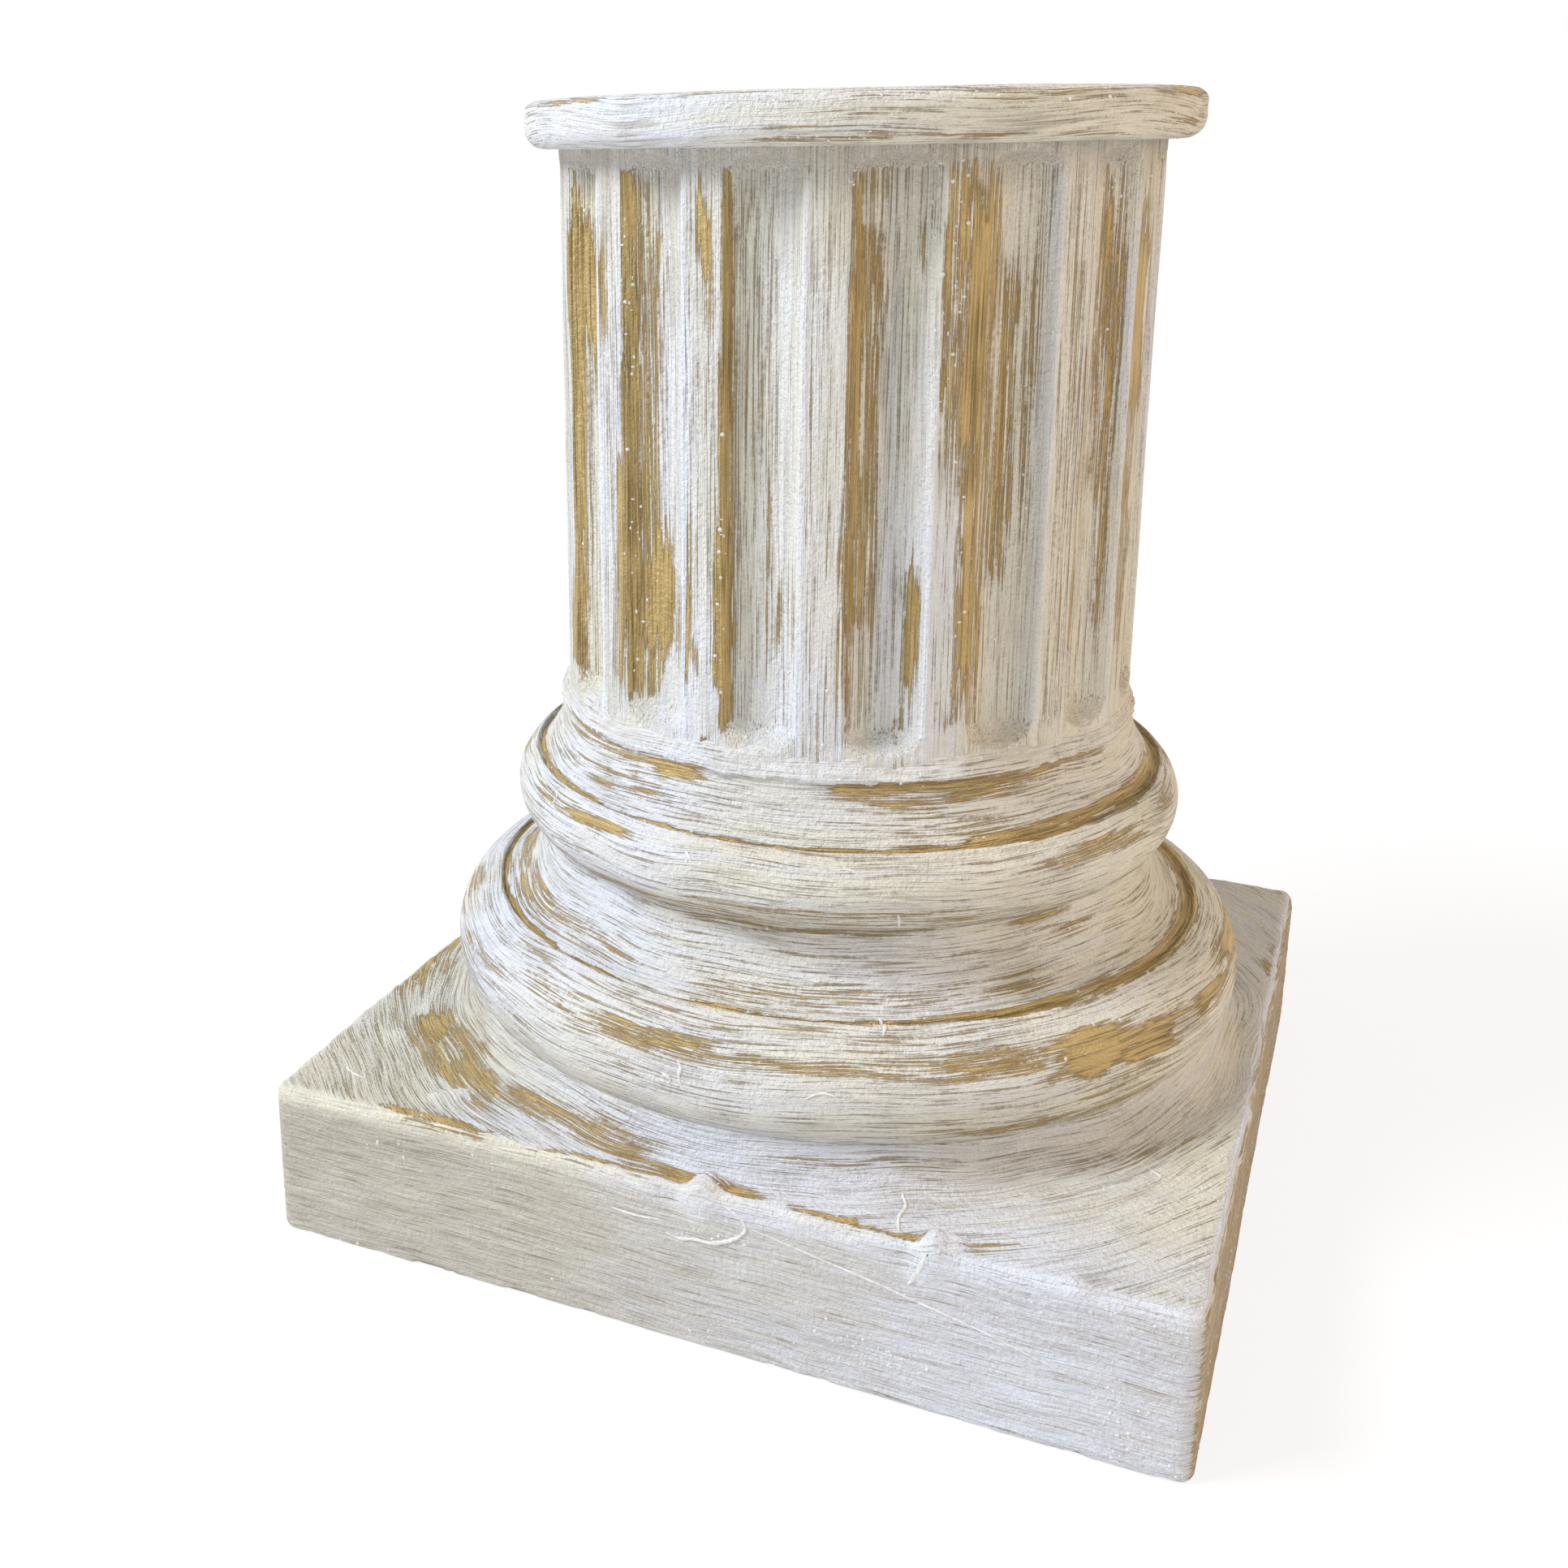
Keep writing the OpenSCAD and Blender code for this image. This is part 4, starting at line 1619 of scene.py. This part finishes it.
BASE_BEHIND = (
    (7, 121, 126, 6, 14, 1.2, 2.6, 0.6, 0.95),
    (7, 97, 103, 5, 13, 1.4, 2.6, 0.5, 0.85),
    # This row, at ways 81 to 86 under the upper torus, is painted shade.
    (4, 81, 86, 12, 40, 2.5, 4.0, 0.4, 0.5),
    (7, 57, 62, 8, 22, 2.0, 4.5, 0.4, 0.6),
    (11, 30, 42, 6, 15, 2.4, 5.0, 0.55, 0.95),
    (5, 18, 22, 6, 14, 1.2, 2.0, 0.4, 0.7),
)

PLINTH_TOP = placed(
    (106, 40, 16, 74, -0.3), (-99, -78, 11, 4.6, 0.66, -61), (-74, -100, 17, 6.4, 0.66, -30),
    (-50, -107.5, 16, 4.2, 0.6, -20), (-25, -114, 15, 3.2, 0.66, -14),
    (-5, -119.3, 11, 2.6, 0.75, -10), (-88, -88, 14, 9, 0.4, -45), (-72, -121.8, 17, 1.7, 0.88),
    (-20, -122, 17, 1.5, 0.8), (8, -120.8, 12, 2.2, 0.85), (45, -122, 19, 1.5, 0.85),
    (74, -115, 9, 4.6, 0.42, 35), (-122, -36, 2.4, 22, 0.75), (-118, -52, 3.0, 14, 0.4, -10),
    (121.5, 62, 1.6, 14, 0.75), (114, 30, 5, 34, 0.2), (108, -58, 20, 3.0, 0.36, 50),
    (-104, 96, 9, 6, 0.8, 40), (-70, 116, 16, 3.5, 0.7, 30), (40, 120.5, 34, 1.6, 0.7),
    (92, 108, 12, 4, 0.6, -35), (-121.5, 50, 1.6, 30, 0.7), (-118, 108, 3, 8, 0.5),
    (88, -104, 24, 12, -0.2), (-112, -112, 14, 10, -0.15),
)
# Crumbs for each square millimetre, over a skin's plain parts and in places
PLAIN_CRUMBS = 0.0005
SHAFT_CRUMBS = placed(
    (30.4, 240, 0.6, 48, 0.3), (33.6, 255, 2.6, 30, 0.05), (-5.6, 190, 0.6, 34, 0.08),
    (-27.3, 215, 0.6, 60, 0.05), (37.4, 190, 0.7, 34, 0.06), (-23, 195, 4, 26, 0.006),
    (0, 147.6, 180, 1.6, 0.05), (16, 282, 0.8, 6, 0.2), (-40, 281, 8, 6, 0.06),
    (52, 230, 1.5, 50, 0.04), (96, 220, 1.0, 60, 0.15), (-96, 220, 1.0, 60, 0.15),
    (165, 220, 1.0, 60, 0.15), (78, 284, 5, 5, 0.05),
)
BASE_CRUMBS = placed(
    (-7, 99, 1.6, 2.4, 0.1), (19, 99, 1.4, 2.0, 0.08), (70, 45, 22, 4.0, 0.02),
    (76, 30, 16, 4.0, 0.02), (60, 110.5, 30, 1.2, 0.03), (-35, 107, 30, 1.6, 0.02),
    (170, 50, 60, 5.0, 0.02),
)
CAP_CRUMBS = placed(
    (13, 4.8, 9, 1.4, 0.12), (70, 7, 5, 3.0, 0.08), (45, 13, 20, 1.4, 0.05),
    (8, 12.8, 24, 1.0, 0.05),
)
TOP_CRUMBS = placed(
    (-75, -110, 6, 5, 0.04), (-118, -100, 3, 22, 0.05), (0, -123, 110, 1.6, 0.03),
    (122, -60, 1.6, 60, 0.06), (95, -95, 14, 10, 0.01),
)
WALL_PATCHES = placed(
    (-72, 44.2, 14, 0.9, 0.7), (-28, 44.6, 20, 0.6, 0.55), (48, 44.8, 14, 0.5, 0.5),
)
WALL_CRUMBS = placed(
    (112, 12, 9, 11, 0.12), (100, 41, 20, 3, 0.06), (-88, 34, 5, 4, 0.06), (46, 13, 18, 5, 0.14),
    (8, 37, 9, 5, 0.08), (0, 1.5, 120, 0.8, 0.01),
)

# Dried beads and drips
PLINTH_BEADS = (
    Bead(((-5, -125, 31.5), (-1, -125, 30.6), (3, -125, 31.9), (7, -125, 31.5), (11, -125, 33),
          (14.5, -125, 35.2), (17, -125, 38.4), (15.4, -125, 41), (11, -125, 43.4)), 0.55),
    Bead(((17, -125, 39), (32, -125, 36), (47, -125, 33.3), (61, -125, 30.3), (76, -125, 27),
          (88, -125, 23.6), (97, -125, 21)), 0.3),
    Bead(((62, -124, 44.5), (60.2, -125, 40.5), (59.4, -125, 38), (57.4, -125, 34.6)), 0.7),
    Bead(((-20, -125, 34.6), (-13, -125, 34), (-6, -125, 34.8)), 0.35),
    Bead(((50, -105, 46), (53, -110, 46), (51.8, -115, 46), (54, -121, 46)), 0.5),
    Bead(((-112, -105, 46), (-108, -110, 46), (-102, -111.4, 46)), 0.3),
    Bead(((104, -70, 46), (107.4, -71.6, 46), (106.6, -74.4, 46)), 0.35),
)
BASE_BEADS = (
    Bead(((-3.0, 34.6), (-2.2, 33.0), (-2.6, 30.4), (-1.6, 27.6)), 0.45),
    Bead(((-4.8, 30.6), (-3.4, 29.6), (-3.8, 28.2)), 0.4),
    Bead(((-8.4, 100.8), (-6.6, 99.8), (-5.8, 97.4)), 0.36),
    Bead(((15.6, 100.2), (19.0, 101.2), (20.8, 97.8)), 0.32),
    Bead(((23.2, 55.4), (24.0, 50.6), (23.4, 46.8)), 0.55),
    Bead(((26.0, 89.0), (26.6, 82.0)), 0.4), Bead(((12.6, 65.2), (14.6, 64.4), (14.2, 66.4)), 0.45),
    Bead(((-40.2, 103.4), (-38.6, 100.4), (-40.0, 97.2)), 0.35),
    Bead(((13.4, 30.0), (15.4, 32.4), (17.4, 31.4)), 0.3),
)

# Heaped drips and dents: x, y and z, size, and height, which is negative for a dent
PLINTH_LUMPS = (
    (4.5, -122.4, 45.2, 3.0, 5.0), (8.5, -119.6, 45.5, 2.6, 2.2),
    (-3.0, -123.5, 43.0, 3.4, -1.1), (3.0, -124.4, 39.5, 3.4, 0.6),
    (62.5, -122.2, 45.0, 2.9, 5.0), (67.0, -120.2, 45.5, 2.6, 2.0),
    (56.0, -123.8, 42.5, 3.0, -1.2), (60.6, -124.4, 38.0, 2.6, 0.6),
    (-75.0, -110.0, 45.5, 3.0, 1.5), (-71.5, -107.0, 45.5, 2.2, 1.1),
    (-78.5, -112.0, 45.5, 2.0, 0.8), (-106.0, -86.0, 45.5, 3.2, 0.5),
    (-107.0, -70.0, 45.5, 2.6, 0.4), (30.0, 122.6, 45.0, 3.2, 2.0),
    (-122.6, 20.0, 45.0, 3.0, 2.0), (122.6, -30.0, 45.0, 2.8, 1.6),
    (-20.0, -124.0, 44.5, 2.0, 0.7), (95.0, -123.0, 45.0, 4.0, 0.7),
)

CAP_PATCHES = placed(
    (13, 4.2, 9, 1.3, 0.5), (37, 3.8, 7, 1.1, 0.5), (57, 4.0, 5, 1.1, 0.45),
    (45, 13.4, 17, 1.3, 0.36), (15, 13.6, 14, 1.0, 0.26), (82, 14.5, 10, 1.6, 0.8),
    (-42, 14.4, 16, 0.9, 0.5), (-15, 9.5, 22, 4, -0.35), (44, 9.5, 22, 3.0, 0.1),
    (80, 6.5, 7, 0.9, 0.5),
)
CAP_BEHIND = (
    (8, 3, 5, 5, 12, 1.0, 1.8, 0.5, 0.85),
    (8, 12, 15, 6, 16, 1.0, 2.0, 0.5, 0.85),
)
CAP_TOP = placed(
    (-20, 34, 28, 4.0, 0.66, 6), (36, -14, 22, 3.0, 0.55, -4), (12, 60, 30, 3.4, 0.55, 8),
    (-48, -32, 16, 2.6, 0.5, -8), (50, 30, 14, 3.2, 0.6, 5), (-58, 12, 14, 2.4, 0.45, 3),
)


# ---------------------------------------------------------------- studio


@dataclass(frozen=True)
class Studio:
    """Plain white floor and surroundings, soft lamps and the camera."""

    camera_place: tuple[float, float, float] = (0.1443, -0.4766, 0.2972)
    camera_turn: tuple[float, float, float] = (73.85, 1.04, 25.40)
    lens_mm: float = 40.01
    shift: tuple[float, float] = (0.1285, -0.0891)
    aim: tuple[float, float, float] = (0.0, 0.0, 0.13)
    ambient: float = 0.42
    floor_reach: float = 30.0

    def camera(self) -> None:
        """Creates the camera and makes it the scene's."""
        data = bpy.data.cameras.new("view")
        data.lens = self.lens_mm
        data.shift_x, data.shift_y = self.shift
        data.clip_start = 0.01
        camera = bpy.data.objects.new("view", data)
        camera.location = self.camera_place
        camera.rotation_euler = [radians(a) for a in self.camera_turn]
        bpy.context.scene.collection.objects.link(camera)
        bpy.context.scene.camera = camera

    def lamp(self, name: str, place: tuple[float, float, float], size: float, power: float,
             colour: str) -> None:
        """Adds one soft square lamp that faces the middle of the column section.

        Args:
            name: Its name.
            place: Where it hangs, in metres.
            size: Its side, in metres.
            power: Its power, in watts.
            colour: Its colour, as sRGB hex.
        """
        data = bpy.data.lights.new(name, "AREA")
        data.size = size
        data.energy = power
        data.color = linear(colour)[:3]
        lamp = bpy.data.objects.new(name, data)
        lamp.location = place
        towards = Vector(self.aim) - Vector(place)
        lamp.rotation_euler = towards.to_track_quat("-Z", "Y").to_euler()
        bpy.context.scene.collection.objects.link(lamp)

    def white_for_views(self, w: Wiring) -> None:
        """Adds the share of rays that should see plain white: camera, mirror and glass.

        Args:
            w: The wiring that needs it.
        """
        for name in ("Is Camera Ray", "Is Glossy Ray", "Is Transmission Ray"):
            w.add(name, "ShaderNodeLightPath", output=name)
        w.add("camera_or_gloss", MATH, ("Is Camera Ray", "Is Glossy Ray"), operation="MAXIMUM")
        w.add("seen", MATH, ("camera_or_gloss", "Is Transmission Ray"), operation="MAXIMUM")

    def world(self) -> None:
        """White surroundings to look at, and an even dimmer light on the object."""
        world = bpy.data.worlds.new("studio")
        w = wiring_of(world)
        self.white_for_views(w)
        w.add("dim", "ShaderNodeBackground", {"Color": linear("#F7F6F6"),
                                              "Strength": self.ambient})
        w.add("plain", "ShaderNodeBackground", {"Color": (1, 1, 1, 1), "Strength": 1.0})
        w.add("mixed", "ShaderNodeMixShader", {0: "seen", 1: "dim", 2: "plain"})
        w.add("end", "ShaderNodeOutputWorld", {"Surface": "mixed"})
        bpy.context.scene.world = world

    def floor(self) -> None:
        """A wide white floor that still takes the object's shadow."""
        material = bpy.data.materials.new("white_floor")
        w = wiring_of(material)
        self.white_for_views(w)
        w.add("object", "ShaderNodeTexCoord", output="Object")
        w.add("away", "ShaderNodeVectorMath", ("object",), output="Value", operation="LENGTH")
        w.add("far", RANGE, {"Value": "away", "From Min": 0.25, "From Max": 0.7,
                             "To Min": 0.8, "To Max": 1.0}, interpolation_type="SMOOTHSTEP")
        w.add("share", MATH, ("seen", "far"), operation="MULTIPLY")
        w.add("matte", "ShaderNodeBsdfDiffuse", {"Color": linear("#FAFAFA")})
        w.add("plain", "ShaderNodeEmission", {"Color": (1, 1, 1, 1), "Strength": 1.04})
        w.add("mixed", "ShaderNodeMixShader", {0: "share", 1: "matte", 2: "plain"})
        w.add("end", "ShaderNodeOutputMaterial", {"Surface": "mixed"})
        mesh = bpy.data.meshes.new("floor")
        ways = ((-1, -1), (1, -1), (1, 1), (-1, 1))
        corners = [(x * self.floor_reach, y * self.floor_reach, 0) for x, y in ways]
        mesh.from_pydata(corners, [], [(0, 1, 2, 3)])
        mesh.materials.append(material)
        floor = bpy.data.objects.new("floor", mesh)
        bpy.context.scene.collection.objects.link(floor)

    def build(self) -> None:
        """Sets up the studio."""
        scene = bpy.context.scene
        scene.view_settings.view_transform = "Standard"
        self.camera()
        self.world()
        self.floor()
        self.lamp("key", (-1.25, -1.0, 1.75), size=0.7, power=45.0, colour="#F4F8FF")
        self.lamp("front", (0.7, -1.8, 0.7), size=1.0, power=2.0, colour="#F0F0FF")
        self.lamp("side", (1.7, 0.1, 0.9), size=1.2, power=12.0, colour="#FFD4A8")


def main() -> None:
    """Builds the column section, dresses it and sets up the studio."""
    _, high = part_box(NODE)
    half = high.x / MM
    top = high.z / MM
    paint = DryBrushedChalk().build()
    base = BaseMouldings(half, top)
    makers = (Plinth(half, top), base, FlutedShaft(half, top), Cap(half, top))
    skins = [maker.build(paint) for maker in makers]
    chalk = DriedChalk().build()
    dried = DriedPaint(half, top)
    dried.crumbs(skins, chalk)
    dried.beads(skins[0], [(b.smooth_path(), b.half_width) for b in PLINTH_BEADS], chalk)
    dried.beads(skins[1], [(base.spots(b.smooth_path()), b.half_width) for b in BASE_BEADS],
                chalk)
    Studio().build()


if __name__ == "__main__":
    logging.basicConfig(level=logging.INFO, format="%(name)s: %(message)s")
    main()
